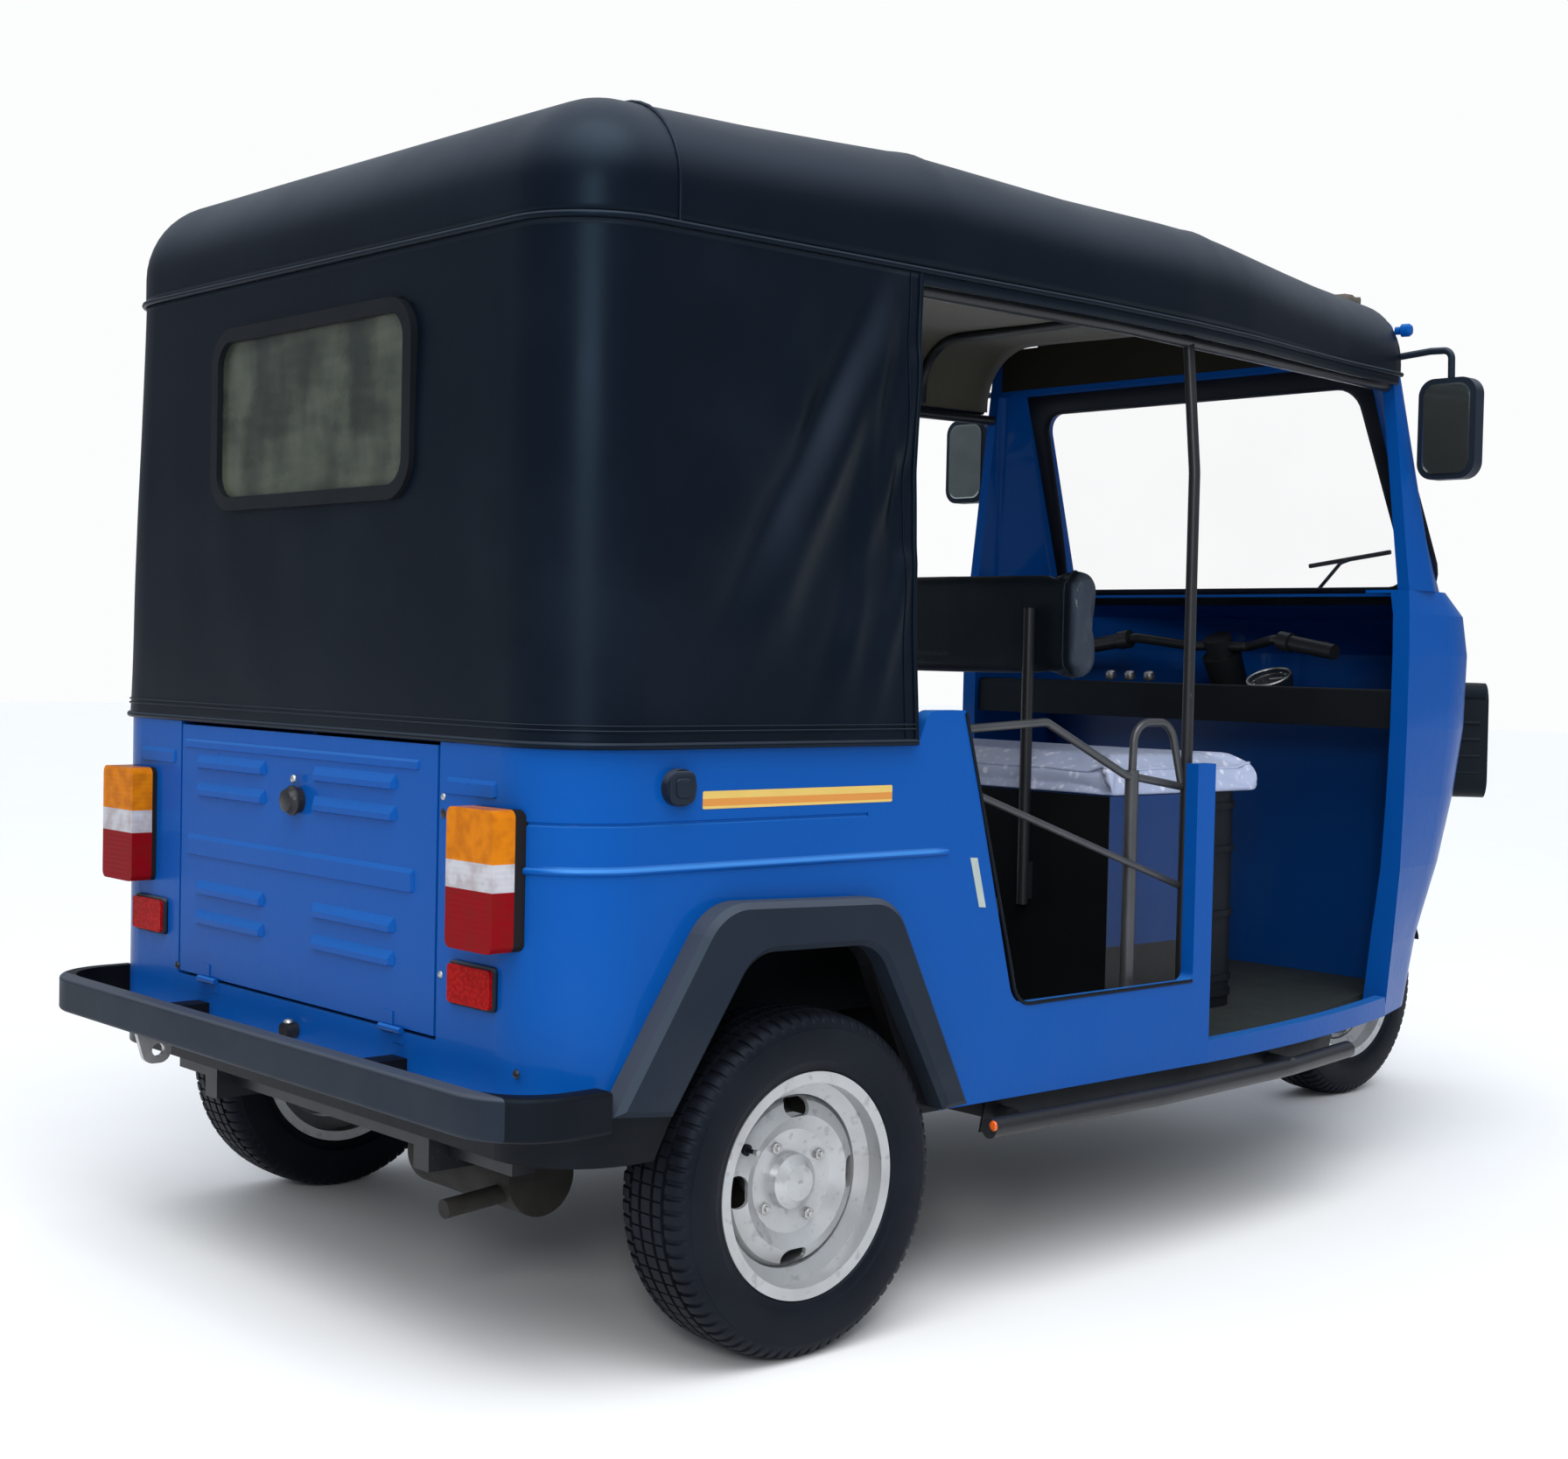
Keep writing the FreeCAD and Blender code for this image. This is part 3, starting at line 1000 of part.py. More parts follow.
MOULD = float(S.flare_width)
FLARE_END = beside_tyre(33, 38 + 1.36 * MOULD, LOW + 77)
B_BACK, B_HALF = flat(REAR_AXLE + S.rear_overhang, HALF + S.bumper_out)
B_LOW, B_TALL, B_WALL = flat(S.bumper_low, S.bumper_height, S.bumper_wall)
B_END = AXLE + FLARE_END + 8
B_INNER, B_CORNER = B_HALF - B_WALL, min(120, B_BACK - B_END - 8)
hoop = [(-B_HALF, B_END, 0), (-B_HALF, B_BACK, B_CORNER), (B_HALF, B_BACK, B_CORNER), (B_HALF, B_END, 0)]
hoop += [(B_INNER, B_END, 0), (B_INNER, B_BACK - B_WALL, B_CORNER - B_WALL),
         (-B_INNER, B_BACK - B_WALL, B_CORNER - B_WALL),
         (-B_INNER, B_END, 0)]
bumper = plate(hoop, B_LOW, B_TALL)
bumper = bumper.makeFillet(7, [e for e in bumper.Edges if abs(e.BoundBox.ZLength) < 1
                               and is_outer(e.BoundBox)])
irons = [block((x, REAR + 0.3, B_LOW + 10), (x + 40, B_BACK - B_WALL, B_LOW + 50)) for x in (280, -320)]
node("rear_bumper", shaped("rear_bumper", bumper.multiFuse(irons)))
EYE_Y, EYE_Z = B_BACK - 46, B_LOW - 30
eye = plate([(EYE_Y - 23, EYE_Z - 22, 20), (EYE_Y + 23, EYE_Z - 22, 20), (EYE_Y + 38, B_LOW - 0.3, 0),
             (EYE_Y - 23, B_LOW - 0.3, 0)],
            338, 10, "x")
node("tow_eye", shaped("tow_eye", eye.cut(bar((330, EYE_Y, EYE_Z), (360, EYE_Y, EYE_Z), 11))))

FLARE_TOP = ARCH_TOP + MOULD
flare_line = [
    (-beside_tyre(27, 24 + 0.76 * MOULD, LOW + 13), LOW + 13, 0),
    (-beside_tyre(27, 24 + 0.76 * MOULD, FLARE_TOP), FLARE_TOP, 80),
    (beside_tyre(33, 38 + 1.36 * MOULD, FLARE_TOP + 11), FLARE_TOP + 11, 90), (FLARE_END, LOW + 77, 0),
    (beside_tyre(34, 38, LOW + 66), LOW + 66, 0), (beside_tyre(34, 38, ARCH_TOP + 5), ARCH_TOP + 5, 70),
    (-beside_tyre(29.4, 24, ARCH_TOP), ARCH_TOP, 70), (-beside_tyre(29.4, 24, LOW + 9), LOW + 9, 0)]
flare = plate([(AXLE + y, z, r) for y, z, r in flare_line], HALF + 0.3, 40, "x")
flare = flare.makeChamfer(9, [e for e in flare.Edges if e.BoundBox.XMin > HALF + 40
                              and e.BoundBox.XLength < 1])
node("wheel_arches", shaped("wheel_arches", both(flare.cut(side))))
STEP_Z = LOW - 39
step = bent_tube([(HALF + 14, RISER + 55, STEP_Z), (HALF + 14, POST + 142, STEP_Z),
                  (HALF - 12, POST - 258, STEP_Z),
                  (HALF - 56, POST - 518, STEP_Z)], 16, 500)
brackets = [bar((RAIL + 20, y, STEP_Z + 17), (HALF - 4, y, STEP_Z + 7), 12) for y in (RISER - 25, POST - 262)]
node("side_steps", shaped("side_steps", both(step.multiFuse(brackets)).cut(ladder)))

# ---- steering: stem, single arm, mudguard, handlebar, front wheel ------------------------------------
CROWN = on_axis(CROWN_Z)
BAR_Z = DASH + 84
stem = Part.makeCylinder(STEM, (BAR_Z - 22 - CROWN_Z) / math.cos(RAKE), CROWN, AXIS)
HALF_TYRE = float(S.tyre_width) / 2
ARM_X, HUB_END = HALF_TYRE + float(S.arm_clear) + 17, float(S.hub_reach) + 0.3
fork = stem.multiFuse([
    bar((-30, CROWN.y, CROWN.z), (ARM_X + 17, CROWN.y, CROWN.z), 18),
    bar((ARM_X, CROWN.y, CROWN.z), (ARM_X, FRONT, RADIUS), 17),
    bar((ARM_X - 18, FRONT, RADIUS), (ARM_X + 17, FRONT, RADIUS), 30),
    bar((HUB_END, FRONT, RADIUS), (ARM_X - 1, FRONT, RADIUS), float(S.axle_radius))])
GUARD_R, GUARD_HALF = RADIUS + float(S.guard_gap), HALF_TYRE + 7.5
band = bar((-GUARD_HALF, FRONT, RADIUS), (GUARD_HALF, FRONT, RADIUS), GUARD_R + 3)
band = band.cut(bar((-GUARD_HALF - 10, FRONT, RADIUS), (GUARD_HALF + 10, FRONT, RADIUS), GUARD_R))
GUARD_FRONT = FRONT - float(S.front_overhang)
wedge = plate([(FRONT, RADIUS, 0), (FRONT + 600, RADIUS + 10, 0), (FRONT + 600, RADIUS + 600, 0),
               (GUARD_FRONT, RADIUS + 600, 0), (GUARD_FRONT, RADIUS + 75, 0)], -GUARD_HALF - 20,
               2 * GUARD_HALF + 40, "x")
STAY_R = (CROWN - Vector(0, FRONT, RADIUS)).Length - GUARD_R
stay = bar((-20, CROWN.y, CROWN.z), (20, CROWN.y, CROWN.z), STAY_R).cut(
    bar((-GUARD_HALF, FRONT, RADIUS), (GUARD_HALF, FRONT, RADIUS), GUARD_R + 3.3))
node("front_fork", shaped("front_fork", fork.fuse(stay).removeSplitter()))
node("front_mudguard", shaped("front_mudguard", band.common(wedge)))

BAR = on_axis(BAR_Z)
INNER, TIP = Vector(190, BAR.y + 58, BAR_Z + 16), Vector(350, BAR.y + 70, BAR_Z - 10)
sweep = [TIP, INNER, Vector(80, BAR.y, BAR.z)]
bars = bent_tube([(-p.x, p.y, p.z) for p in sweep] + [(p.x, p.y, p.z) for p in reversed(sweep)], 11, 40)
REACH = TIP - INNER
grip = bar(INNER + REACH * 0.3, TIP, 17)
pod = bar(INNER + REACH * 0.1, INNER + REACH * 0.28, 21)
lever = bent_tube([INNER + REACH * 0.2 + v for v in (Vector(), Vector(10, -27, -1), Vector(88, -27, -3))], 5, 10)
controls = grip.multiFuse([pod, lever])
collar = Part.makeCylinder(32, 46, on_axis(BAR_Z - 22) + AXIS * 0.3, AXIS)
shroud = Part.makeCone(38, 44, 140, on_axis(BAR_Z - 142), AXIS)
shroud = shroud.cut(Part.makeCylinder(STEM + 0.3, (BAR_Z - 22 - CROWN_Z) / math.cos(RAKE) + 0.3, CROWN, AXIS))
node("handlebar", shaped("handlebar", bars.multiFuse([controls, other_side(controls), collar, shroud])))

# ---- hand over: every node checked, then written ----------------------------------------------------
doc.recompute()
faults = [o.Name for o in doc.Objects if "Invalid" in o.State or "Error" in o.State]
faults += [label for label, obj in NODES.items() if obj.Shape.isNull() or not obj.Shape.isValid()]
if faults:
    raise SystemExit(f"these did not build: {faults}")
os.makedirs("parts", exist_ok=True)
for label, obj in NODES.items():
    obj.Shape.exportStep(f"parts/{label}.step")
print(len(NODES), "nodes")
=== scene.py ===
"""Auto rickshaw: the finish, the soft goods and the small fittings round the steel and moulded parts."""
import math

import bmesh
import bpy
from mathutils import Matrix, Vector, noise


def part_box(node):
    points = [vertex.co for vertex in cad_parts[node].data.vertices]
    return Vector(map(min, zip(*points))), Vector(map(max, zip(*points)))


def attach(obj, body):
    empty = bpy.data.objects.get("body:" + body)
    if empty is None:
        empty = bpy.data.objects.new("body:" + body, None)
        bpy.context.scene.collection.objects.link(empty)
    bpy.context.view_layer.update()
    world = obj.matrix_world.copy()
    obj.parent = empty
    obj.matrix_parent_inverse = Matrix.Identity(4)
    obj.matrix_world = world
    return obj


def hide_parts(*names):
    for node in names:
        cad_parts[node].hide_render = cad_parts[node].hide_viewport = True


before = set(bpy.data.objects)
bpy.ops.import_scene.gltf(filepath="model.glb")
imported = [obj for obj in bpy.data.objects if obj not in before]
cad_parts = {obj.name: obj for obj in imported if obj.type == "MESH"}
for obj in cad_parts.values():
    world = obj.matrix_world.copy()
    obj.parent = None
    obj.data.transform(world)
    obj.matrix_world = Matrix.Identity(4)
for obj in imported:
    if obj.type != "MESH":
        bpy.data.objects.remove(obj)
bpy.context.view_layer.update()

# ---- Light and camera --------------------------------------------------------------------------------
# Soft studio light: a wide sun, a big panel overhead and a smaller fill at the right rear corner, under
# a pale sky. The camera stands behind that corner at waist height.
CAMERA_PLACE = (-2.9987, 3.1971, 1.0249)
LENS, SENSOR, SHIFT = 50.19, 36.0, (0.01334, -0.00698)
HEADING, PITCH, ROLL = math.radians(48.242), math.radians(-1.726), math.radians(1.240)
SKY_LOW, SKY_HIGH, BACKDROP = (0.20, 0.22, 0.25, 1), (0.86, 0.92, 1.0, 1), (0.975, 0.98, 0.985, 1)
SKY_STRENGTH = 0.95
# kind, name, place, point aimed at, size, power
LAMPS = (("SUN", "soft_day", (-2.8, 2.6, 6.6), (0, 0, 0), 1.0, 1.85),
         ("AREA", "overhead", (-2.5, 2.0, 5.0), (0, 0.2, 1.2), 3.0, 60),
         ("AREA", "corner_fill", (-4.2, 4.6, 2.4), (0, 0.8, 1.2), 1.0, 85))
ahead = Vector((math.sin(HEADING) * math.cos(PITCH), -math.cos(HEADING) * math.cos(PITCH), math.sin(PITCH)))
level = ahead.cross(Vector((0, 0, 1))).normalized()
upright = level.cross(ahead)
sideways = math.cos(ROLL) * level + math.sin(ROLL) * upright
upward = math.cos(ROLL) * upright - math.sin(ROLL) * level
lens = bpy.data.cameras.new("camera")
lens.lens, lens.sensor_width = LENS, SENSOR
lens.shift_x, lens.shift_y = SHIFT
lens.clip_end = 100
camera = bpy.data.objects.new("camera", lens)
aim = Matrix((sideways, upward, -ahead)).transposed().to_4x4()
camera.matrix_world = Matrix.Translation(CAMERA_PLACE) @ aim
bpy.context.scene.collection.objects.link(camera)
bpy.context.scene.camera = camera
bpy.context.scene.view_settings.view_transform = "Standard"

world = bpy.data.worlds.new("sky")
bpy.context.scene.world = world
world.use_nodes = True
nodes, links = world.node_tree.nodes, world.node_tree.links
glow, pick = nodes["Background"], nodes.new("ShaderNodeMixShader")
place, height = nodes.new("ShaderNodeTexCoord"), nodes.new("ShaderNodeSeparateXYZ")
shade, backdrop = nodes.new("ShaderNodeValToRGB"), nodes.new("ShaderNodeBackground")
links.new(place.outputs["Generated"], height.inputs[0])
links.new(height.outputs["Z"], shade.inputs[0])
links.new(shade.outputs[0], glow.inputs["Color"])
for stop, (at, tone) in zip(shade.color_ramp.elements, ((0.04, SKY_LOW), (0.9, SKY_HIGH))):
    stop.position, stop.color = at, tone
glow.inputs["Strength"].default_value = SKY_STRENGTH
backdrop.inputs["Color"].default_value = BACKDROP
links.new(nodes.new("ShaderNodeLightPath").outputs["Is Camera Ray"], pick.inputs[0])
links.new(glow.outputs[0], pick.inputs[1])
links.new(backdrop.outputs[0], pick.inputs[2])
links.new(pick.outputs[0], nodes["World Output"].inputs[0])


def lamp(kind, name, place, aim, size, power):
    """A soft light aimed at a point: a square panel of that size, or a sun of that width in radians."""
    data = bpy.data.lights.new(name, kind)
    data.energy = power
    setattr(data, "angle" if kind == "SUN" else "size", size)
    stand = bpy.data.objects.new(name, data)
    stand.location = place
    stand.rotation_euler = (Vector(aim) - Vector(place)).to_track_quat("-Z", "Y").to_euler()
    bpy.context.scene.collection.objects.link(stand)


for row in LAMPS:
    lamp(*row)


# ---- Floor -------------------------------------------------------------------------------------------
# A plain pale floor that fills every view. Its faint grain, like every finish here, follows the place
# in metres, so that it keeps its real size, and steady numbers go straight on the shader.
FLOOR_SIZE = 60


class Field:
    """An output of a material's nodes; arithmetic on it adds more nodes."""

    def __init__(self, tree, link):
        self.tree, self.link = tree, link

    def node(self, kind, settings=None, inputs=None, output=0):
        made = self.tree.nodes.new("ShaderNode" + kind)
        for key, value in (settings or {}).items():
            setattr(made, key, value)
        for key, value in (inputs or {}).items():
            if isinstance(value, Field):
                self.tree.links.new(value.link, made.inputs[key])
            else:
                made.inputs[key].default_value = value
        return Field(self.tree, made.outputs[output])

    def maths(self, operation, *others):
        return self.node("Math", {"operation": operation}, dict(enumerate((self, *others))))

    def __add__(self, other):
        return self.maths("ADD", other)

    def __sub__(self, other):
        return self.maths("SUBTRACT", other)

    def __rsub__(self, other):
        return self.maths("MULTIPLY_ADD", -1.0, other)

    def __mul__(self, other):
        return self.maths("MULTIPLY", other)

    __radd__, __rmul__ = __add__, __mul__

    def step(self, low, high):
        """0 below low, 1 above high, smooth between."""
        reach = {"Value": self, "From Min": low, "From Max": high}
        return self.node("MapRange", {"interpolation_type": "SMOOTHSTEP"}, reach)

    def below(self, low, high):
        """1 below low, 0 above high."""
        return 1 - self.step(low, high)

    def band(self, low, full, fade, high):
        """1 from full to fade, 0 below low and above high."""
        return self.step(low, full) * self.below(fade, high)

    def ridges(self, half_pitch):
        """A height that goes up and down by half_pitch along this field."""
        return self.maths("PINGPONG", half_pitch)

    def axis(self, name):
        return self.node("SeparateXYZ", None, {"Vector": self}, name)

    def off_centre(self):
        """Distance from the vehicle's middle plane."""
        return self.axis("X").maths("ABSOLUTE")

    def facing(self):
        """How far a surface looks up: 1 on level tops, 0 on walls."""
        return self.node("NewGeometry", None, None, "Normal").axis("Z")

    def grain(self, scale, detail=3.0, stretch=(1, 1, 1)):
        at = self.node("VectorMath", {"operation": "MULTIPLY"}, {0: self, 1: stretch})
        return at.node("TexNoise", None, {"Vector": at, "Scale": scale, "Detail": detail}, "Fac")

    def cells(self, scale):
        return self.node("TexVoronoi", None, {"Vector": self, "Scale": scale}, "Distance")

    def tint(self, low, high):
        """The colour low where this field is 0 and the colour high where it is 1."""
        low, high = (colour if isinstance(colour, Field) else (*colour, 1) for colour in (low, high))
        return self.node("Mix", {"data_type": "RGBA"}, {0: self, 6: low, 7: high}, 2)

    def relief(self, depth, strength=1.0):
        return self.node("Bump", None, {"Height": self, "Distance": depth, "Strength": strength})


def finish(name, varying, **steady):
    """A material: steady numbers sit on the shader, varying(at) gives what changes from place to place."""
    material = bpy.data.materials.new(name)
    material.use_nodes = True
    tree = material.node_tree
    shader = tree.nodes["Principled BSDF"]
    for socket, value in steady.items():
        shader.inputs[socket.replace("_", " ")].default_value = value
    place = tree.nodes.new("ShaderNodeTexCoord")
    for socket, field in varying(Field(tree, place.outputs["Object"])).items():
        tree.links.new(field.link, shader.inputs[socket])
    material.diffuse_color = (0.3, 0.3, 0.3, 1)
    return material


def floor_look(at):
    return {
        "Base Color": at.grain(3, 2).tint((0.88, 0.88, 0.88), (0.91, 0.91, 0.905)),
        "Roughness": at.grain(40) * 0.1 + 0.5}


bpy.ops.mesh.primitive_plane_add(size=FLOOR_SIZE)
floor = bpy.context.object
floor.name = "floor"
floor.data.materials.append(finish("pale_floor", floor_look))


# ---- Body panels -------------------------------------------------------------------------------------
# Pressed steel panels in gloss blue, with a painted highlight on what looks up and along the swage ledge,
# a little orange peel and fine dust low down. The inner front panel and the cab side of the cowl are the
# same blue darkened as painted shade; the wheel wells and lower apron are black.
DEEP_BLUE, MID_BLUE = (0.0016, 0.059, 0.275), (0.0024, 0.074, 0.330)
TOP_SHEEN_BLUE, CAB_SHADE_BLUE, LEDGE_HIGHLIGHT_BLUE = (0.040, 0.200, 0.560), (0.0005, 0.010, 0.052), (0.070, 0.270, 0.640)
WELL_BLACK, ROAD_DUST = (0.006, 0.006, 0.007), (0.07, 0.11, 0.18)
BLUE_GLOSS = {"Specular_IOR_Level": 0.06, "Specular_Tint": (0.2, 0.55, 1.0, 1.0)}
HEADER_HALF, HEADER_FOOT, HEADER_DEPTH, SCREEN_RAKE = 0.505, 1.650, 1.3290, 0.3756


def dress(material, *nodes):
    """Gives CAD pieces their finish."""
    for node in nodes:
        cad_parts[node].data.materials.clear()
        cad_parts[node].data.materials.append(material)


def wear(at, low=0.30, high=0.75):
    """Road dust, thick at the sills and gone by the waist."""
    return at.axis("Z").below(low, high) * at.grain(9, 5).step(0.35, 0.75)


def blue_paint(at, tone=1.0):
    x, y, z = at.off_centre(), at.axis("Y"), at.axis("Z")
    deep, mid = (tuple(share * tone for share in blue) for blue in (DEEP_BLUE, MID_BLUE))
    shade = at.grain(1.6, 3).tint(deep, mid)
    # Painted highlight: faces that look up are lightened towards a pale sky blue.
    shade = (at.facing().step(0.22, 0.85) * 0.42).tint(shade, TOP_SHEEN_BLUE)
    # Painted shade: the cab side of the front cowl is darkened to a deep blue.
    cab_shade = y.band(-0.905, -0.895, -0.70, -0.66) * z.band(0.90, 1.00, 1.165, 1.17) * x.below(0.528, 0.532)
    shade = cab_shade.tint(shade, CAB_SHADE_BLUE)
    # Painted highlight along the top of the swage ledge on the rear sides.
    ledge_highlight = z.band(0.7222, 0.7238, 0.7285, 0.7320) * y.band(0.73, 0.77, 1.44, 1.47)
    shade = (ledge_highlight * 0.5).tint(shade, LEDGE_HIGHLIGHT_BLUE)
    # Black in the wheel wells, down the arch edges and on the lower apron.
    apron = z.below(0.3835, 0.3855) * y.step(1.280, 1.285)
    well = x.below(0.6735, 0.6745) * y.band(0.660, 0.665, 1.325, 1.330) * z.below(0.635, 0.640)
    rear_leg = z.below(0.3930, 0.3940) * y.band(1.220, 1.225, 1.385, 1.390)
    front_leg = (y - z * 0.64 - 0.546).step(-0.014, -0.012) * y.below(1.0, 1.01) * z.below(0.600, 0.605)
    black = (apron + well + rear_leg + front_leg).maths("MINIMUM", 1.0)
    dust = wear(at) * 0.04
    return {
        "Base Color": black.tint(dust.tint(shade, ROAD_DUST), WELL_BLACK),
        "Roughness": at.grain(14, 4) * 0.12 + dust * 0.7 + 0.24,
        "Normal": (at.grain(55, 1) + at.grain(420, 1) * 0.12).relief(0.0016, 0.25)}


def header_paint(at):
    """Body blue a little darker as painted shade, with lining cloth glued to the inner side of the
    windscreen's header, its colour darkened as painted shade.
    """
    look = blue_paint(at, 0.9)
    inner = (at.axis("Y") - at.axis("Z") * SCREEN_RAKE + HEADER_DEPTH).step(0.0, 0.001)
    inner = inner * at.axis("Z").step(HEADER_FOOT, HEADER_FOOT + 0.002)
    inner = inner * at.off_centre().below(HEADER_HALF, HEADER_HALF + 0.003)
    # The lining cloth's colour is darkened as painted shade.
    shaded_lining = at.grain(5, 5).tint((0.013, 0.012, 0.009), (0.026, 0.024, 0.017))
    look["Base Color"] = inner.tint(look["Base Color"], shaded_lining)
    return look


paint = finish("body_blue", blue_paint, Coat_Weight=0.11, Coat_Roughness=0.05, **BLUE_GLOSS)
frame_paint = finish("frame_blue", header_paint, Coat_Weight=0.07, Coat_Roughness=0.06, **BLUE_GLOSS)
# The inner front panel: body blue darkened as painted shade.
inner_paint = finish("inner_blue", lambda at: blue_paint(at, 0.55), Coat_Weight=0.1, Coat_Roughness=0.2,
                     Specular_IOR_Level=0.15)
dress(paint, "side_panel_left", "side_panel_right", "rear_panel", "rear_hatch", "front_cowl")
dress(frame_paint, "windscreen_frame")
dress(inner_paint, "inner_front_panel")


# ---- Mouldings, bumper and running gear --------------------------------------------------------------
# Grained dark plastic on the arches, bumper, visor and lamp surrounds; black enamel on the frame and
# tubes; oily bare castings below; rubber matting on the cab floor.
JET, COOL_SHEEN, BLACK_SHEEN = (0.004, 0.004, 0.005), (0.45, 0.70, 1.0, 1.0), (0.5, 0.75, 1.0, 1.0)
BUMPER_FACE_Y, MATTING_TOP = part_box("rear_bumper")[1].y - 0.030, 0.497
SEAT_BOX_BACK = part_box("driver_seat_base")[1].y - 0.002


def moulded(at):
    dust = wear(at, 0.25, 0.6) * 0.22
    shade = at.grain(6, 4).tint((0.0085, 0.0125, 0.0205), (0.0140, 0.0195, 0.0300))
    # Painted highlight: faces that look up are lightened to a pale blue-grey.
    shade = (at.facing().step(0.10, 0.75) * 0.7).tint(shade, (0.070, 0.082, 0.104))
    return {
        "Base Color": dust.tint(shade, (0.070, 0.072, 0.076)),
        "Roughness": at.grain(25) * 0.12 + dust * 0.5 + 0.42,
        "Normal": at.cells(900).relief(0.0004, 0.35)}


def bumper_moulding(at):
    """The same plastic, painted near black as shade on the bumper's inner side."""
    look = moulded(at)
    inner = at.axis("Y").below(BUMPER_FACE_Y, BUMPER_FACE_Y + 0.001)
    look["Base Color"] = inner.tint(look["Base Color"], JET)
    return look


def jet_moulding(at):
    return {
        "Base Color": at.grain(9, 4).tint((0.0045, 0.0050, 0.0062), (0.0095, 0.0105, 0.0125)),
        "Roughness": at.grain(25, 3) * 0.16 + 0.40,
        "Normal": at.cells(800).relief(0.0004, 0.35)}


def black_enamel(at):
    chips = at.grain(120, 2).step(0.70, 0.76) * 0.5
    black = at.grain(8).tint((0.010, 0.011, 0.013), (0.018, 0.019, 0.022))
    return {
        "Base Color": chips.tint(black, (0.08, 0.07, 0.065)),
        "Roughness": at.grain(30) * 0.15 + 0.28,
        "Normal": at.grain(260, 2).relief(0.0003, 0.3)}


def grey_tube(at):
    return {
        "Base Color": at.grain(14, 4).tint((0.032, 0.034, 0.038), (0.070, 0.073, 0.078)),
        "Roughness": at.grain(60, 2) * 0.2 + 0.24,
        "Normal": at.grain(220, 2).relief(0.0003, 0.3)}


def box_paint(at):
    """The driver's seat box: blue darkened as painted shade at the sides, black matting low down and on the
    passengers' side.
    """
    # Painted shade: the box's blue is a darker copy of the body blue.
    look = blue_paint(at, 0.42)
    low = at.axis("Z").below(MATTING_TOP, MATTING_TOP + 0.002)
    black = low.maths("MAXIMUM", at.axis("Y").step(SEAT_BOX_BACK, SEAT_BOX_BACK + 0.0012))
    look["Base Color"] = black.tint(look["Base Color"], (0.0065, 0.007, 0.008))
    return look


def oily_casting(at):
    return {
        "Base Color": at.grain(18, 5).tint((0.006, 0.006, 0.006), (0.034, 0.031, 0.028)),
        "Roughness": at.grain(22) * 0.3 + 0.5,
        "Normal": at.grain(160, 3).relief(0.001, 0.5)}


def floor_matting(at):
    ribs = at.axis("X").ridges(0.008).step(0.001, 0.004)
    return {
        "Base Color": at.grain(12, 4).tint((0.0060, 0.0095, 0.0085), (0.0160, 0.0220, 0.0190)),
        "Roughness": at.grain(20) * 0.2 + 0.55,
        "Normal": ribs.relief(0.0012, 0.6)}


plastic = finish("dark_moulding", moulded, Specular_IOR_Level=0.14, Specular_Tint=COOL_SHEEN)
bumper = finish("bumper_moulding", bumper_moulding, Specular_IOR_Level=0.14, Specular_Tint=COOL_SHEEN)
jet = finish("jet_moulding", jet_moulding, Specular_IOR_Level=0.12, Specular_Tint=BLACK_SHEEN)
enamel = finish("black_enamel", black_enamel, Specular_IOR_Level=0.28)
dress(plastic, "wheel_arches", "front_mudguard", "front_visor", "fuel_cap")
dress(bumper, "rear_bumper")
dress(jet, "rear_window_rubber", "headlamp_surrounds", "dashboard", "rear_deck", "passenger_seat_base",
      "seat_front_cover")
dress(enamel, "hatch_lock", "hatch_buffer", "handlebar", "side_steps", "chassis_frame", "canopy_frame",
      "seat_uprights", "front_fork", "wiper")
dress(finish("grey_tube", grey_tube, Metallic=0.3), "side_guards")
dress(finish("seat_box_paint", box_paint, Specular_IOR_Level=0.2), "driver_seat_base")
dress(finish("oily_casting", oily_casting, Specular_IOR_Level=0.15), "engine", "silencer", "trailing_arms")
dress(finish("floor_matting", floor_matting), "floor_pan")


# ---- Lamps, glass and bright metal -------------------------------------------------------------------
# Tail lamps are one moulding in bands: amber on top, clear in the middle, red below, ribbed inside the
# lens. The rear pane is a nearly opaque cloudy flexible sheet whose mottle carries painted reflections,
# and the windscreen is clear.
AMBER_FOOT, CLEAR_FOOT, LENS_FRONT = 0.733, 0.695, 1.4885
RED_GLASS, CLEAR_GLASS, AMBER_GLASS = (0.200, 0.0030, 0.0065), (0.46, 0.46, 0.49), (0.56, 0.170, 0.006)


def tail_lens(at):
    height = at.axis("Z")
    upper = height.step(AMBER_FOOT, AMBER_FOOT + 0.0005).tint(CLEAR_GLASS, AMBER_GLASS)
    band = height.step(CLEAR_FOOT, CLEAR_FOOT + 0.0005).tint(RED_GLASS, upper)
    gasket = at.axis("Y").below(LENS_FRONT, LENS_FRONT + 0.0005)
    prism = height.ridges(0.004).step(0.0, 0.004)
    dim = at.grain(38, 2).step(0.35, 0.7) * 0.32
    return {
        "Base Color": gasket.tint(dim.tint(band, (0.13, 0.012, 0.006)), (0.012, 0.012, 0.014)),
        "Roughness": prism * 0.08 + 0.10,
        "Normal": prism.relief(0.0009, 0.22)}


def prism_red(at):
    cube = at.cells(160)
    return {
        "Base Color": cube.step(0.0, 0.8).tint((0.38, 0.007, 0.006), (0.24, 0.003, 0.004)),
        "Roughness": cube * 0.1 + 0.14,
        "Normal": cube.relief(0.001, 0.5)}


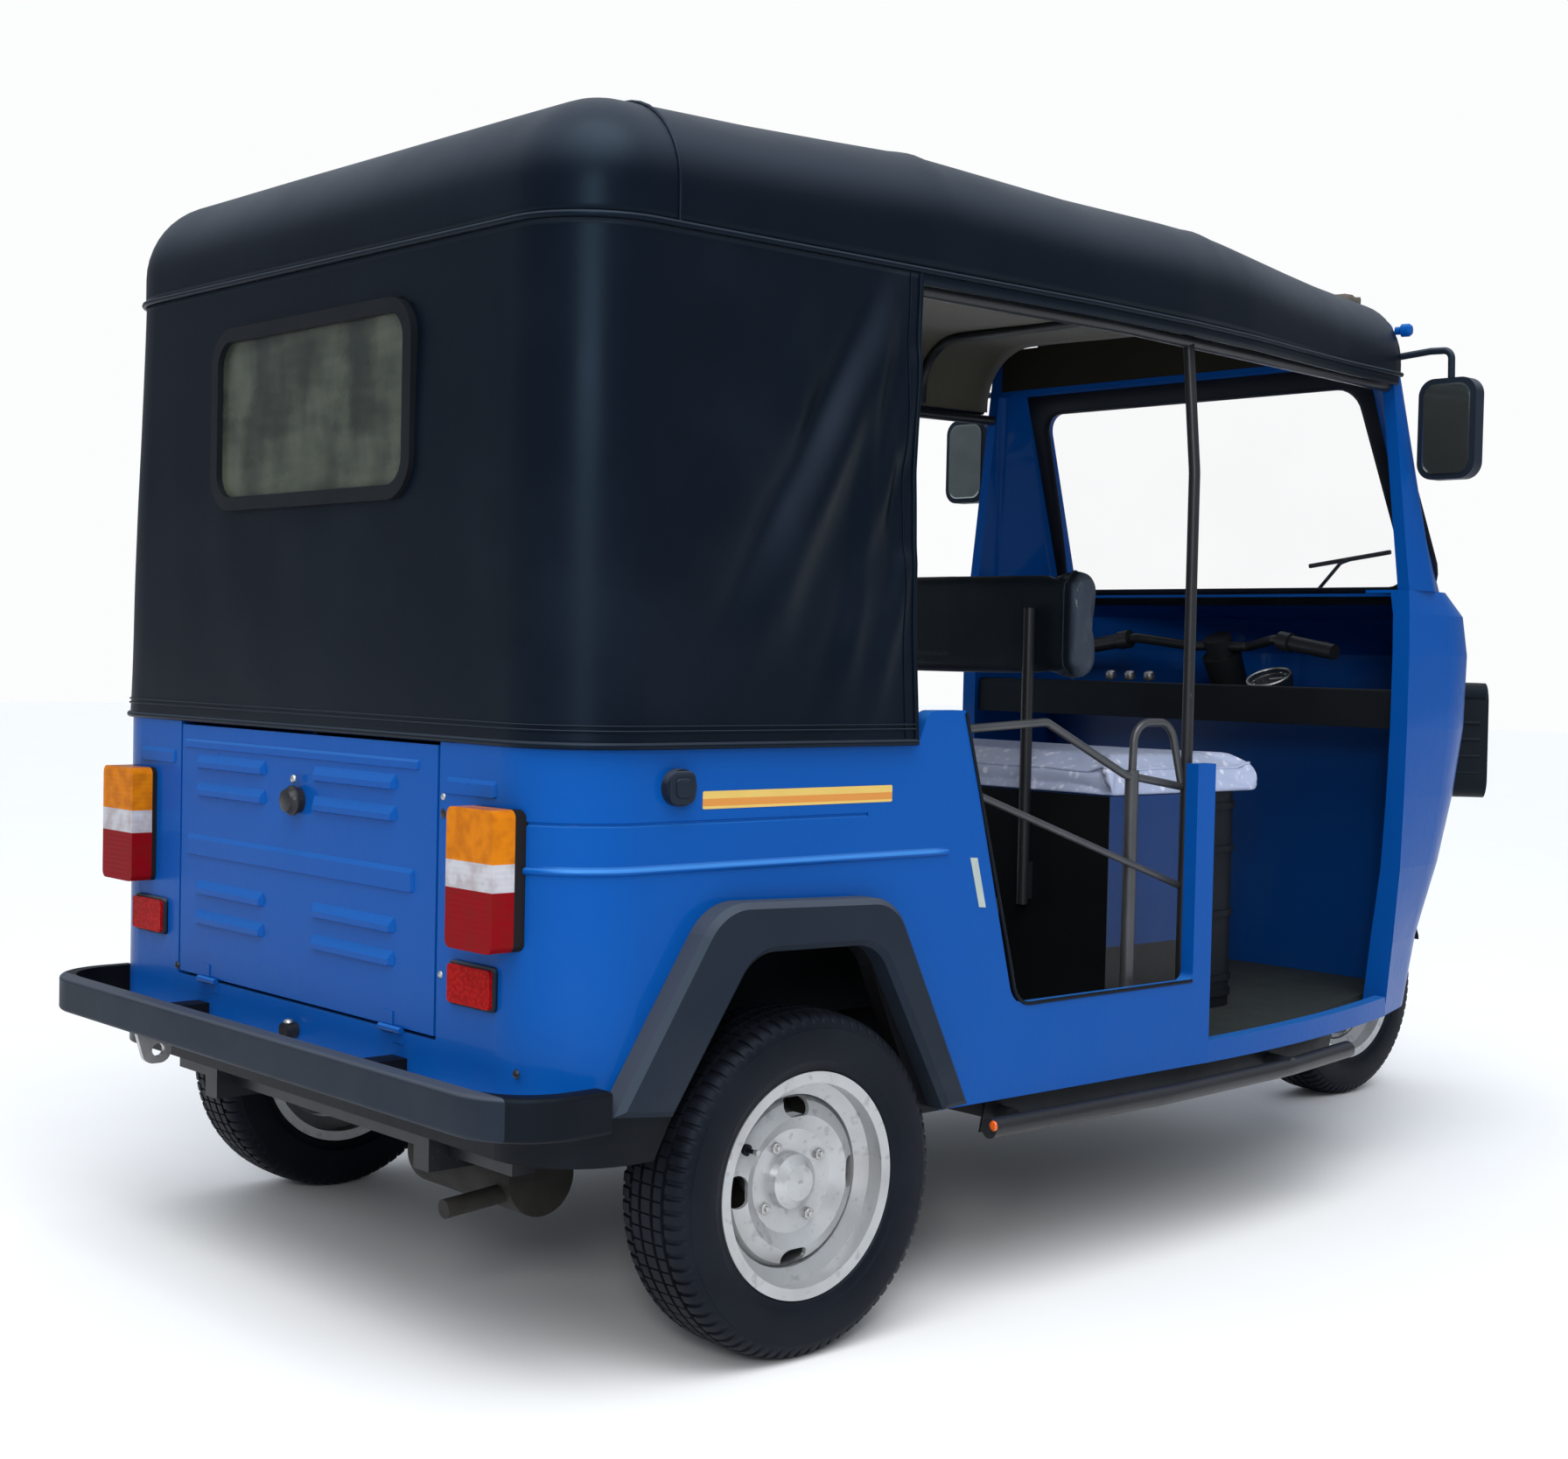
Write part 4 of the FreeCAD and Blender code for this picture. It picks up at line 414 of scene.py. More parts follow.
def cloudy_sheet(at):
    # The mottle is partly the sheet's own cloudiness and partly painted reflections and a painted view of the
    # dark cab behind the nearly opaque sheet.
    mottle_and_reflection = at.grain(6, 5, (1.6, 1, 0.7)) + at.grain(22, 3, (0.4, 1, 1.6)) * 0.35
    return {
        "Base Color": mottle_and_reflection.step(0.48, 0.92).tint((0.012, 0.016, 0.013), (0.070, 0.080, 0.056)),
        "Roughness": at.grain(12, 3) * 0.25 + 0.16,
        "Alpha": mottle_and_reflection * 0.04 + 0.94,
        "Normal": at.grain(5, 2).relief(0.006, 0.4)}


def clean_glass(at):
    film = at.grain(3, 4).step(0.4, 0.9)
    return {
        "Base Color": film.tint((0.24, 0.26, 0.26), (0.32, 0.33, 0.32)),
        "Roughness": film * 0.04 + 0.02,
        "Alpha": film * 0.015 + 0.02}


def lamp_glass(at):
    flutes = (at.axis("X") + at.axis("Y")).ridges(0.007).step(0.0, 0.007)
    return {
        "Base Color": flutes.tint((0.75, 0.78, 0.80), (0.9, 0.92, 0.93)),
        "Roughness": flutes * 0.1 + 0.06,
        "Normal": flutes.relief(0.002, 0.6)}


def zinc(at):
    return {
        "Base Color": at.grain(40, 4).tint((0.32, 0.32, 0.32), (0.58, 0.58, 0.57)),
        "Roughness": at.grain(90, 3) * 0.3 + 0.28}


def wheel_silver(at):
    grime = at.grain(10, 5).step(0.45, 0.85) * 0.40
    specks = at.grain(60, 4).step(0.56, 0.70) * 0.45
    silver = grime.tint(at.grain(30).tint((0.37, 0.38, 0.39), (0.49, 0.50, 0.51)), (0.20, 0.19, 0.18))
    return {
        "Base Color": specks.tint(silver, (0.20, 0.20, 0.20)),
        "Roughness": grime * 0.5 + 0.28,
        "Metallic": 1 - grime * 0.8 - 0.45,
        "Normal": at.grain(300, 2).relief(0.0004, 0.3)}


lens_gloss = {"Coat_Weight": 0.03, "Specular_IOR_Level": 0.02}
sheet_gloss = {"Coat_Weight": 0.35, "Coat_Roughness": 0.12, "Specular_IOR_Level": 0.3}
steel = finish("zinc_plate", zinc, Metallic=1.0)
dress(finish("tail_lens", tail_lens, Coat_Roughness=0.04, **lens_gloss), "tail_lamps")
dress(finish("prism_red", prism_red, Coat_Roughness=0.05, **lens_gloss), "reflectors")
dress(finish("cloudy_sheet", cloudy_sheet, **sheet_gloss), "rear_window")
dress(finish("clean_glass", clean_glass), "windscreen")
dress(finish("lamp_glass", lamp_glass, Metallic=0.6), "headlamps")
dress(finish("wheel_silver", wheel_silver), "rear_rim_left", "rear_rim_right", "front_rim")
dress(steel, "tow_eye")


# ---- Door mirrors ------------------------------------------------------------------------------------
# Black moulded shells on bent arms, fixed to the windscreen frame. Each shell holds a framed glass that
# faces back along the side.
SIDES = ((1, "left"), (-1, "right"))
MIRROR_WIDTH, MIRROR_HEIGHT, MIRROR_CORNER = 0.127, 0.200, 0.026
# the glass and its frame: (width, height, out from the shell)
MIRROR_RINGS = ((0.104, 0.178, 0.0), (0.104, 0.178, 0.0016), (0.098, 0.172, 0.0022))


def grey_mirror(at):
    haze = at.grain(18, 4)
    return {
        "Base Color": haze.tint((0.17, 0.20, 0.20), (0.25, 0.28, 0.28)),
        "Roughness": haze * 0.12 + 0.06}


def placed(name, shape, material, slot, body):
    """An object in the vehicle's frame, carried by one body and given its material. The slot argument is not
    used.
    """
    shape.materials.append(material)
    made = bpy.data.objects.new(name, shape)
    bpy.context.scene.collection.objects.link(made)
    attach(made, body)
    return made


def piece(name, points, faces, material, slot, body="body", smooth=True):
    """A placed object from its points and faces."""
    mesh = bpy.data.meshes.new(name)
    mesh.from_pydata([tuple(p) for p in points], [], faces)
    mesh.validate()
    if smooth:
        mesh.shade_smooth()
    return placed(name, mesh, material, slot, body)


def rounded(width, height, radius, steps=6):
    """A rounded rectangle as a loop of (across, up) pairs about its middle."""
    loop = []
    for quarter, (sx, sy) in enumerate(((1, 1), (-1, 1), (-1, -1), (1, -1))):
        for k in range(steps + 1):
            turn = math.radians(90 * (quarter + k / steps))
            loop.append((sx * (width / 2 - radius) + radius * math.cos(turn),
                         sy * (height / 2 - radius) + radius * math.sin(turn)))
    return loop


def quads(rows, across, closed=True, looped=False):
    """Faces between rows of points: closed joins a row's ends, looped joins the last row to the first."""
    corners = ((0, 0), (0, 1), (1, 1), (1, 0))
    return [tuple((k + up) % rows * across + (i + on) % across for up, on in corners)
            for k in range(rows if looped else rows - 1) for i in range(across if closed else across - 1)]


def capped(rings):
    """Points and faces of rings of one count, joined in turn and closed at the first and last."""
    n = len(rings[0])
    ends = [tuple(reversed(range(n))), tuple(range((len(rings) - 1) * n, len(rings) * n))]
    return [p for ring in rings for p in ring], quads(len(rings), n) + ends


dress(plastic, "mirrors")
looking = finish("grey_mirror", grey_mirror, Metallic=0.9)
shell_low, shell_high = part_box("mirrors")
for side, label in SIDES:
    middle = Vector((side * (shell_high.x - MIRROR_WIDTH / 2), shell_high.y + 0.0001,
                     shell_low.z + MIRROR_HEIGHT / 2))
    rings = [[middle + Vector((x, out, z)) for x, z in rounded(width, height, MIRROR_CORNER)]
             for width, height, out in MIRROR_RINGS]
    piece(f"mirror_glass_{label}", *capped(rings), looking, "mirror", smooth=False)


# ---- Canopy top --------------------------------------------------------------------------------------
# Coated black cloth with a piped cross seam near the rear, drawn over bows and rolled down at the sides
# and rear to a piped seam. It hangs slack between the bows, and a lining of woven cloth is stretched
# under it.
seam_low, seam_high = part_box("canopy_roof")
SEAM_Z, CANOPY_FRONT, CANOPY_BACK = seam_low.z, seam_low.y, seam_high.y
ROLL_RADIUS, CORNER_RADIUS = 0.135, 0.135
ROOF_CLOTH, LINING_CLOTH, LINING_DROP = 0.005, 0.002, 0.0105
# (y, half width at the seam), and below it (y, height of the crown)
SEAM_HALF = ((-0.68, 0.562), (-0.45, 0.583), (-0.31, 0.603), (-0.07, 0.640), (0.13, 0.660), (0.40, 0.672),
             (1.50, 0.673))
CROWN = ((-0.68, 1.762), (-0.57, 1.768), (-0.30, 1.783), (0.02, 1.802), (0.40, 1.799), (0.764, 1.811),
         (1.10, 1.797), (1.33, 1.792), (1.50, 1.786))
REAR_BOW, MIDDLE_BOW, FRONT_BOW, CROSS_SEAM = 0.764, 0.02, -0.45, 1.292
HEM_LENGTH = 1.48
# (out, down)
HEM_SECTION = ((0.0015, 0.0), (0.003, 0.010), (0.002, 0.021), (-0.001, 0.022), (-0.002, 0.0))


def coated_cloth(at):
    weave = at.axis("Z").ridges(0.0007) + (at.axis("Y") + at.axis("X")).ridges(0.0007)
    worn = at.grain(4, 5).step(0.42, 0.85)
    black = worn.tint((0.0026, 0.0046, 0.0086), (0.0048, 0.0076, 0.0132))
    return {
        # Painted highlight: faces that look up are lightened to a blue-grey sheen.
        "Base Color": (at.facing().step(0.05, 0.6) * 0.75).tint(black, (0.0270, 0.0355, 0.0490)),
        "Roughness": at.grain(6, 4) * 0.16 + worn * 0.1 + 0.25,
        "Normal": (at.grain(9, 3) + at.grain(700, 2) * 0.05 + weave * 60).relief(0.0022, 0.35)}


def backing_cloth(at):
    thread = at.axis("X").ridges(0.0012) + at.axis("Y").ridges(0.0012)
    return {
        "Base Color": at.grain(5, 5).tint((0.050, 0.045, 0.028), (0.082, 0.075, 0.050)),
        "Roughness": at.grain(30) * 0.1 + 0.85,
        "Normal": (thread * 200 + at.grain(6, 3)).relief(0.003, 0.4)}


def along(table, y):
    """The value at y of a table of (y, value), straight between its rows."""
    for (a, low), (b, high) in zip(table, table[1:]):
        if y <= b:
            return low + (high - low) * max(0.0, (y - a) / (b - a))
    return table[-1][1]


def u_ring(inset, half, back, front, counts):
    """A U in plan at one inset: from the front along one side, round the rear and up the other side."""
    lead, reach, wide = max(inset, CORNER_RADIUS), max(CORNER_RADIUS - inset, 0.0), half(back)
    side_n, corner_n, rear_n = counts
    past = max(inset - ROLL_RADIUS, 0.0) / (wide - ROLL_RADIUS)
    ring = []
    for k in range(side_n):
        y = front + (back - lead - front) * k / side_n
        ring.append((half(y) - min(inset, ROLL_RADIUS) - (half(y) - ROLL_RADIUS) * past, y))
    for k in range(corner_n + 1):
        turn = math.radians(90 * k / corner_n)
        ring.append((wide - lead + reach * math.cos(turn), back - lead + reach * math.sin(turn)))
    for k in range(1, rear_n):
        ring.append(((wide - lead) * (1 - k / rear_n), back - inset))
    return ring + [(0.0, back - inset)] + [(-x, y) for x, y in reversed(ring)]


def slack(x, y, inset):
    """How far the top stands off its even curve: it hangs between the bows and is lifted over them."""
    free = math.sin(math.radians(min(inset / 0.3, 1) * 90))
    hang = 0.0045 * free * (noise.noise((x * 3, y * 2.3, 4.0)) - 0.4)
    for bow, lean in ((REAR_BOW, 0.0), (MIDDLE_BOW, min(inset, 0.1))):
        hang += 0.0035 * math.exp(-(((y - bow + 0.10 * lean) / 0.014) ** 2))
    return hang


def roll_steps(count):
    """The rolled edge's section from the seam up: (set in, share of the way up the roll)."""
    turns = [math.radians(90 * k / count) for k in range(count + 1)]
    return [(ROLL_RADIUS * (1 - math.cos(turn)), math.sin(turn)) for turn in turns]


def canopy_shape(under, counts):
    """The top from its seam to the ridge line, set in by the thickness under."""
    def half(y):
        return along(SEAM_HALF, y) - under

    flat = half(CANOPY_BACK) - ROLL_RADIUS
    profile = [(0.0, k / 3, 0.0) for k in range(3)]
    profile += [(inset, 1.0, lift) for inset, lift in roll_steps(12)]
    profile += [(ROLL_RADIUS + flat * (k / 14), 1.0, 1.0) for k in range(1, 15)]
    rings = []
    for inset, wall, roll in profile:
        ring = []
        for x, y in u_ring(inset, half, CANOPY_BACK - under, CANOPY_FRONT, counts):
            height = along(CROWN, y) - under - ROLL_RADIUS - SEAM_Z
            ring.append(Vector((x, y, SEAM_Z + height * wall + (ROLL_RADIUS + slack(x, y, inset)) * roll)))
        rings.append(ring)
    return [p for ring in rings for p in ring], quads(len(rings), len(rings[0]), closed=False)


def sewn(made, thickness):
    """Closes a sheet's doubled points and gives it its thickness."""
    shape = bmesh.new()
    shape.from_mesh(made.data)
    bmesh.ops.remove_doubles(shape, verts=shape.verts, dist=0.0004)
    bmesh.ops.dissolve_degenerate(shape, edges=shape.edges, dist=0.0002)
    bmesh.ops.recalc_face_normals(shape, faces=shape.faces)
    shape.to_mesh(made.data)
    shape.free()
    made.data.shade_smooth()
    skin = made.modifiers.new("thickness", "SOLIDIFY")
    skin.thickness, skin.offset = thickness, -1.0


def tube(name, points, radius, material, slot, body="body", closed=False, sides=3):
    """A round bead or rod along points."""
    curve = bpy.data.curves.new(name, "CURVE")
    curve.dimensions, curve.bevel_depth, curve.bevel_resolution = "3D", radius, sides
    curve.use_fill_caps = True
    line = curve.splines.new("POLY")
    line.points.add(len(points) - 1)
    for spot, p in zip(line.points, points):
        spot.co = (*p, 1)
    line.use_cyclic_u = closed
    return placed(name, curve, material, slot, body)


def hoop(y, inset, feet):
    """A line over the canopy from side to side at one place: feet are its heights below the rolled edge."""
    half, shoulder, radius = along(SEAM_HALF, y) - inset, along(CROWN, y) - ROLL_RADIUS, ROLL_RADIUS - inset
    rise = [(half, y, foot) for foot in feet]
    for set_in, lift in roll_steps(10):
        rise.append((half - set_in * radius / ROLL_RADIUS, y, shoulder + lift * radius))
    return rise + [(-x, y, z) for x, y, z in reversed(rise)]


cloth = finish("coated_cloth", coated_cloth, Specular_IOR_Level=0.11, Specular_Tint=COOL_SHEEN)
backing = finish("backing_cloth", backing_cloth, Sheen_Weight=0.2)
roof = piece("canopy_top", *canopy_shape(0.0, (90, 10, 24)), cloth, "canopy")
sewn(roof, ROOF_CLOTH)
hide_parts("canopy_roof")
lining = piece("canopy_lining", *canopy_shape(LINING_DROP, (60, 6, 16)), backing, "liner")
sewn(lining, LINING_CLOTH)
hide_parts("roof_liner")
seam_line = u_ring(-0.002, lambda y: along(SEAM_HALF, y), CANOPY_BACK, CANOPY_FRONT, (60, 10, 10))
tube("seam_piping", [(x, y, SEAM_Z) for x, y in seam_line], 0.0048, cloth, "canopy")
halfway = (SEAM_Z + along(CROWN, CROSS_SEAM) - ROLL_RADIUS) / 2
tube("cross_piping", hoop(CROSS_SEAM, 0.0, (SEAM_Z, halfway)), 0.0040, cloth, "canopy")
for y, label in ((MIDDLE_BOW, "rear"), (FRONT_BOW, "front")):
    tube(f"bow_sleeve_{label}", hoop(y, 0.024, (SEAM_Z + 0.004,)), 0.0105, enamel, "black_paint")
for side, label in SIDES:
    run = [CANOPY_FRONT + 0.01 + HEM_LENGTH * k / 70 for k in range(71)]
    strip = [Vector((side * (along(SEAM_HALF, y) - 0.001 + out), y, SEAM_Z - down))
             for out, down in HEM_SECTION for y in run]
    hem = quads(len(HEM_SECTION), len(run), closed=False)
    piece(f"roof_hem_{label}", strip, hem, cloth, "canopy")


# ---- Curtain -----------------------------------------------------------------------------------------
# The same cloth round the sides and rear from the seam down to a rope hem on the body's top edge. Slanting
# folds run down the sides from its front edges, and the rear is cut for the window.
hem_low, hem_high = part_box("canopy_curtain")
HEM_Z, HEM_HALF, HEM_BACK, CURTAIN_FRONT = hem_low.z, hem_high.x, hem_high.y, hem_low.y
WINDOW_LOW, WINDOW_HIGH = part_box("rear_window_rubber")
WINDOW_MARGIN, WINDOW_RADIUS, CURTAIN_CLOTH = 0.011, 0.05, 0.0035
CURTAIN_COUNTS, CURTAIN_ROWS = (66, 12, 56), 60
# each fold: start y and z, end y and z, half width, depth
FOLDS = ((0.850, 1.60, 1.180, 0.96, 0.036, 0.0210), (0.835, 1.46, 1.00, 0.93, 0.026, 0.0150),
         (0.86, 1.30, 1.06, 0.90, 0.026, -0.0090), (0.95, 1.60, 1.32, 1.05, 0.060, 0.0090),
         (0.85, 1.16, 0.92, 0.90, 0.020, 0.0110), (0.90, 1.58, 0.97, 0.92, 0.018, 0.0080),
         (1.06, 1.58, 1.10, 0.93, 0.030, 0.0065), (0.865, 1.55, 0.88, 0.95, 0.012, -0.0050),
         (0.90, 1.60, 1.25, 1.00, 0.022, -0.0100))


def slack_out(x, y, z):
    """How far the cloth stands out from its straight line at a point."""
    up = (z - HEM_Z) / (SEAM_Z - HEM_Z)
    free = math.sin(math.pi * max(0.0, min(1.0, up))) ** 0.7
    out = 0.0035 * noise.noise((x * 2.2, y * 2.2, z * 2.6)) + 0.0015 * noise.noise((x * 9, y * 9, z * 5))
    if abs(x) > 0.60:
        for y0, z0, y1, z1, width, depth in FOLDS:
            run, reach = Vector((y1 - y0, z1 - z0)), Vector((y - y0, z - z0))
            share = max(0.0, min(1.0, reach.dot(run) / run.length_squared))
            off = (reach - run * share).length / width
            out += depth * math.exp(-off * off) * math.sin(math.pi * min(1.0, share * 0.8 + 0.2))
    return out * free


def curtain_rows():
    rows = []
    for k in range(CURTAIN_ROWS + 1):
        up = k / CURTAIN_ROWS
        z = HEM_Z + (SEAM_Z - 0.002 - HEM_Z) * up
        half = HEM_HALF + (seam_high.x - HEM_HALF) * up ** 0.9
        back = HEM_BACK + (CANOPY_BACK - HEM_BACK) * up ** 0.9
        front = CURTAIN_FRONT + 0.010 * math.sin(math.pi * up)
        row = []
        for x, y in u_ring(0.001, lambda _: half, back, front, CURTAIN_COUNTS):
            straight = half - CORNER_RADIUS
            lean = Vector((x - max(-straight, min(straight, x)), max(y - (back - CORNER_RADIUS), 0)))
            lean = lean.normalized() if lean.length > 1e-6 else Vector((math.copysign(1, x), 0))
            out = slack_out(x, y, z)
            row.append(Vector((x + lean.x * out, y + lean.y * out, z)))
        rows.append(row)
    return rows


def in_window(p):
    """Inside the pane's rubber, as a rounded rectangle a little smaller than it."""
    inner = WINDOW_MARGIN + WINDOW_RADIUS
    aside = abs(p.x) - (WINDOW_HIGH.x - inner)
    up = abs(p.z - (WINDOW_LOW.z + WINDOW_HIGH.z) / 2) - ((WINDOW_HIGH.z - WINDOW_LOW.z) / 2 - inner)
    near = max(aside, up) < WINDOW_RADIUS and math.hypot(max(aside, 0), max(up, 0)) < WINDOW_RADIUS
    return p.y > 1.4 and near


rows = curtain_rows()
points = [p for row in rows for p in row]
faces = [face for face in quads(len(rows), len(rows[0]), closed=False)
         if not in_window(sum((points[corner] for corner in face), Vector()) / 4)]
curtain = piece("canopy_curtain_cloth", points, faces, cloth, "canopy")
sewn(curtain, CURTAIN_CLOTH)
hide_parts("canopy_curtain")
tube("hem_rope", [p + Vector((0, 0, 0.004)) for p in rows[0]], 0.0052, cloth, "canopy")
for height, radius in ((0.024, 0.0016), (0.031, 0.0013)):
    stitches = [Vector((p.x * 1.0008, p.y, p.z + height)) for p in rows[0]]
    tube(f"hem_stitching_{int(height * 1000)}", stitches, radius, cloth, "canopy")
for edge, inner, (side, label) in ((0, 3, SIDES[0]), (-1, -4, SIDES[1])):
    tube(f"curtain_edge_{label}", [row[edge] for row in rows], 0.0042, cloth, "canopy")
    stitches = [row[inner] + Vector((side * 0.0008, 0, 0)) for row in rows]
    tube(f"curtain_stitching_{label}", stitches, 0.0013, cloth, "canopy")


# ---- Tyres and wheel fittings ------------------------------------------------------------------------
# Black rubber tyres with three grooved ribs and lugged shoulders. Each disc is held by four plain nuts
# and has its valve in a small rubber-lined hole near the edge.
NUT_CIRCLE, NUT_TURN, VALVE_CIRCLE, VALVE_TURN = 0.062, math.radians(32), 0.112, math.radians(58)
# each wheel: label, rim, tyre, body, outward side
WHEELS = (("rear_left", "rear_rim_left", "rear_tyre_left", "rear_wheel_left", 1),
          ("rear_right", "rear_rim_right", "rear_tyre_right", "rear_wheel_right", -1),
          ("front", "front_rim", "front_tyre", "front_wheel", -1))
LUGS, LUG_DEPTH, RIB_CUT, WEB_RADIUS = 76, 0.0036, 0.0025, 0.2400
# one lug's pitch in shares: the second and third steps lie in the gap, the sixth and seventh in the cut
LUG_STEPS = (0.0, 0.08, 0.32, 0.40, 0.58, 0.63, 0.69, 0.74)
# the section from the middle rib to the bead: (from the middle plane, radius)
MIDDLE_RIB = ((0.0, 0.2540), (0.0095, 0.2539))
MIDDLE_GROOVE = ((0.0102, 0.2485), (0.0155, 0.2483))
SIDE_RIB = ((0.0162, 0.2537), (0.0240, 0.2535), (0.0318, 0.2531))
SIDE_GROOVE = ((0.0325, 0.2478), (0.0380, 0.2475))
SHOULDER = ((0.0387, 0.2525), (0.0460, 0.2519), (0.0530, 0.2503), (0.0590, 0.2474), (0.0640, 0.2430),
            (0.0668, 0.2376))
WALL = ((0.0680, 0.2335), (0.0694, 0.2300), (0.0706, 0.2295), (0.0716, 0.2220), (0.0722, 0.2140),
        (0.0724, 0.2060), (0.0720, 0.1980), (0.0711, 0.1905), (0.0696, 0.1835), (0.0692, 0.1832),
        (0.0668, 0.1765), (0.0640, 0.1715), (0.0640, 0.1700), (0.0615, 0.1672), (0.0590, 0.1664),
        (0.0560, 0.1625), (0.0540, 0.1538), (0.0480, 0.1538))
ZONES = ((MIDDLE_RIB, "rib"), (MIDDLE_GROOVE, ""), (SIDE_RIB, "rib"), (SIDE_GROOVE, ""), (SHOULDER, "lug"),
         (WALL, ""))
HALF_SECTION = [(u, r, kind) for zone, kind in ZONES for u, r in zone]
SECTION = [(-u, r, kind) for u, r, kind in reversed(HALF_SECTION[1:])] + HALF_SECTION
# a nut on its washer, with the stud's end: (outward, radius, sides)
NUT = ((0.0205, 0.0105, 24), (0.0222, 0.0105, 24), (0.0223, 0.0080, 6), (0.0295, 0.0080, 6),
       (0.0305, 0.0070, 24), (0.0305, 0.0045, 24), (0.0345, 0.0045, 24), (0.0352, 0.0036, 24))


def tyre_rubber(at):
    bloom = at.grain(9, 4).step(0.35, 0.8)
    return {
        "Base Color": bloom.tint((0.0030, 0.0037, 0.0056), (0.0068, 0.0080, 0.0112)),
        "Roughness": bloom * 0.16 + at.grain(60, 2) * 0.10 + 0.44,
        "Normal": at.grain(700, 2).relief(0.0003, 0.25)}


def tyre_shape(hub, facing):
    """A tyre turned about its hub: lug gaps cross the shoulders and fine cuts cross the ribs."""
    points = []
    for block in range(LUGS):
        for step, share in enumerate(LUG_STEPS):
            turn = 2 * math.pi * (block + share) / LUGS
            for u, r, kind in SECTION:
                depth = LUG_DEPTH if kind == "lug" and step in (1, 2) else 0
                depth = RIB_CUT if kind == "rib" and step in (5, 6) else depth
                r -= depth * (0.45 if r < WEB_RADIUS else 1)
                points.append((hub.x + facing * u, hub.y + r * math.sin(turn), hub.z + r * math.cos(turn)))
    faces = quads(LUGS * len(LUG_STEPS), len(SECTION), looped=True)
    return points, [face[::-1] for face in faces] if facing > 0 else faces


def joined(stacks):
    """Several capped stacks of rings as one set of points and faces."""
    points, faces = [], []
    for rings in stacks:
        more, shell = capped(rings)
        faces += [tuple(i + len(points) for i in face) for face in shell]
        points += more
    return points, faces


def nut_rings(hub, facing, quarter):
    turn = NUT_TURN + math.radians(90 * quarter)
    nut_y, nut_z = hub.y + NUT_CIRCLE * math.sin(turn), hub.z + NUT_CIRCLE * math.cos(turn)
    rings = []
    for u, r, sides in NUT:
        ring = []
        for k in range(24):
            angle = 2 * math.pi * k / 24
            reach = r / math.cos((angle + math.pi / 6) % (math.pi / 3) - math.pi / 6) if sides == 6 else r
            across, up = reach * math.cos(angle), reach * math.sin(angle)
            ring.append((hub.x + facing * u, nut_y + across, nut_z + up))
        rings.append(ring)
    return rings


rubber = finish("tyre_rubber", tyre_rubber, Specular_IOR_Level=0.16, Specular_Tint=(0.6, 0.75, 1.0, 1.0))
# the valve's parts: name, start and end outward, radius, material, slot, roundness
VALVE = (("seat", 0.0270, 0.0345, 0.0085, rubber, "rubber", 6),
         ("stem", 0.0300, 0.0500, 0.0034, rubber, "rubber", 4),
         ("cap", 0.0500, 0.0570, 0.0042, steel, "steel", 4))
for label, rim, node, body, facing in WHEELS:
    hub = sum(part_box(rim), Vector()) / 2
    tyre = piece(f"tyre_{label}", *tyre_shape(hub, facing), rubber, "tyre", body)
    tyre.data.set_sharp_from_angle(angle=math.radians(38))
    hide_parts(node)
    nuts = joined([nut_rings(hub, facing, quarter) for quarter in range(4)])
    nuts = piece(f"wheel_nuts_{label}", *nuts, steel, "steel", body)
    nuts.data.set_sharp_from_angle(angle=math.radians(25))
    valve_y = hub.y + VALVE_CIRCLE * math.sin(VALVE_TURN)
    valve_z = hub.z + VALVE_CIRCLE * math.cos(VALVE_TURN)
    for part, start, end, radius, material, slot, sides in VALVE:
        run = [(hub.x + facing * u, valve_y, valve_z) for u in (start, end)]
        tube(f"valve_{part}_{label}", run, radius, material, slot, body, sides=sides)


# ---- Seats -------------------------------------------------------------------------------------------
# Foam pads in vinyl covers, sewn with piping along their edges. The driver's cushion has a pale figured
# cover; the rest are plain black. Each pad is fixed flat on its base or its back board.
PAD_INSET, PAD_LIMIT, AIR_PRESSURE, BLOW_FRAMES = 0.006, 0.024, 4.0, 20
BENCH_SEAM, BENCH_BACK_SEAM, CUSHION_SEAM, REST_SEAM = 0.016, 0.018, 0.012, 0.036


def figured_vinyl(at):
    petals = at.cells(52).below(0.22, 0.46)
    sprig = petals * at.grain(46, 3).step(0.40, 0.62) * 0.75
    ground = at.grain(11, 4).tint((0.29, 0.35, 0.49), (0.43, 0.47, 0.64))
    return {
        "Base Color": sprig.tint(ground, (0.74, 0.75, 0.86)),
        "Roughness": at.grain(20, 3) * 0.12 + 0.34,
        "Normal": (at.cells(420) + at.grain(8, 3) * 1.2).relief(0.0009, 0.4)}


def black_vinyl(at):
    """Plain black, with a painted highlight on the top ends of the driver's backrest."""
    rubbed = at.grain(5, 5).step(0.45, 0.85).tint((0.0060, 0.0090, 0.0130), (0.0140, 0.0190, 0.0260))
    # Painted highlight: the outer top ends of the driver's backrest are lightened to a bluish grey.
    ends = at.off_centre().step(0.334, 0.346) * at.axis("Y").below(0.2, 0.3) * at.axis("Z").step(0.98, 0.99)
    return {
        "Base Color": ends.tint(rubbed, (0.034, 0.043, 0.058)),
        "Roughness": at.grain(9, 3) * 0.14 + 0.34,
        "Normal": (at.cells(380) + at.grain(7, 3) * 1.5).relief(0.0010, 0.45)}


def settled(made):
    """The piece as its modifiers leave it, with none left on it."""
    shape = made.evaluated_get(bpy.context.evaluated_depsgraph_get())
    made.data = bpy.data.meshes.new_from_object(shape)
    made.modifiers.clear()


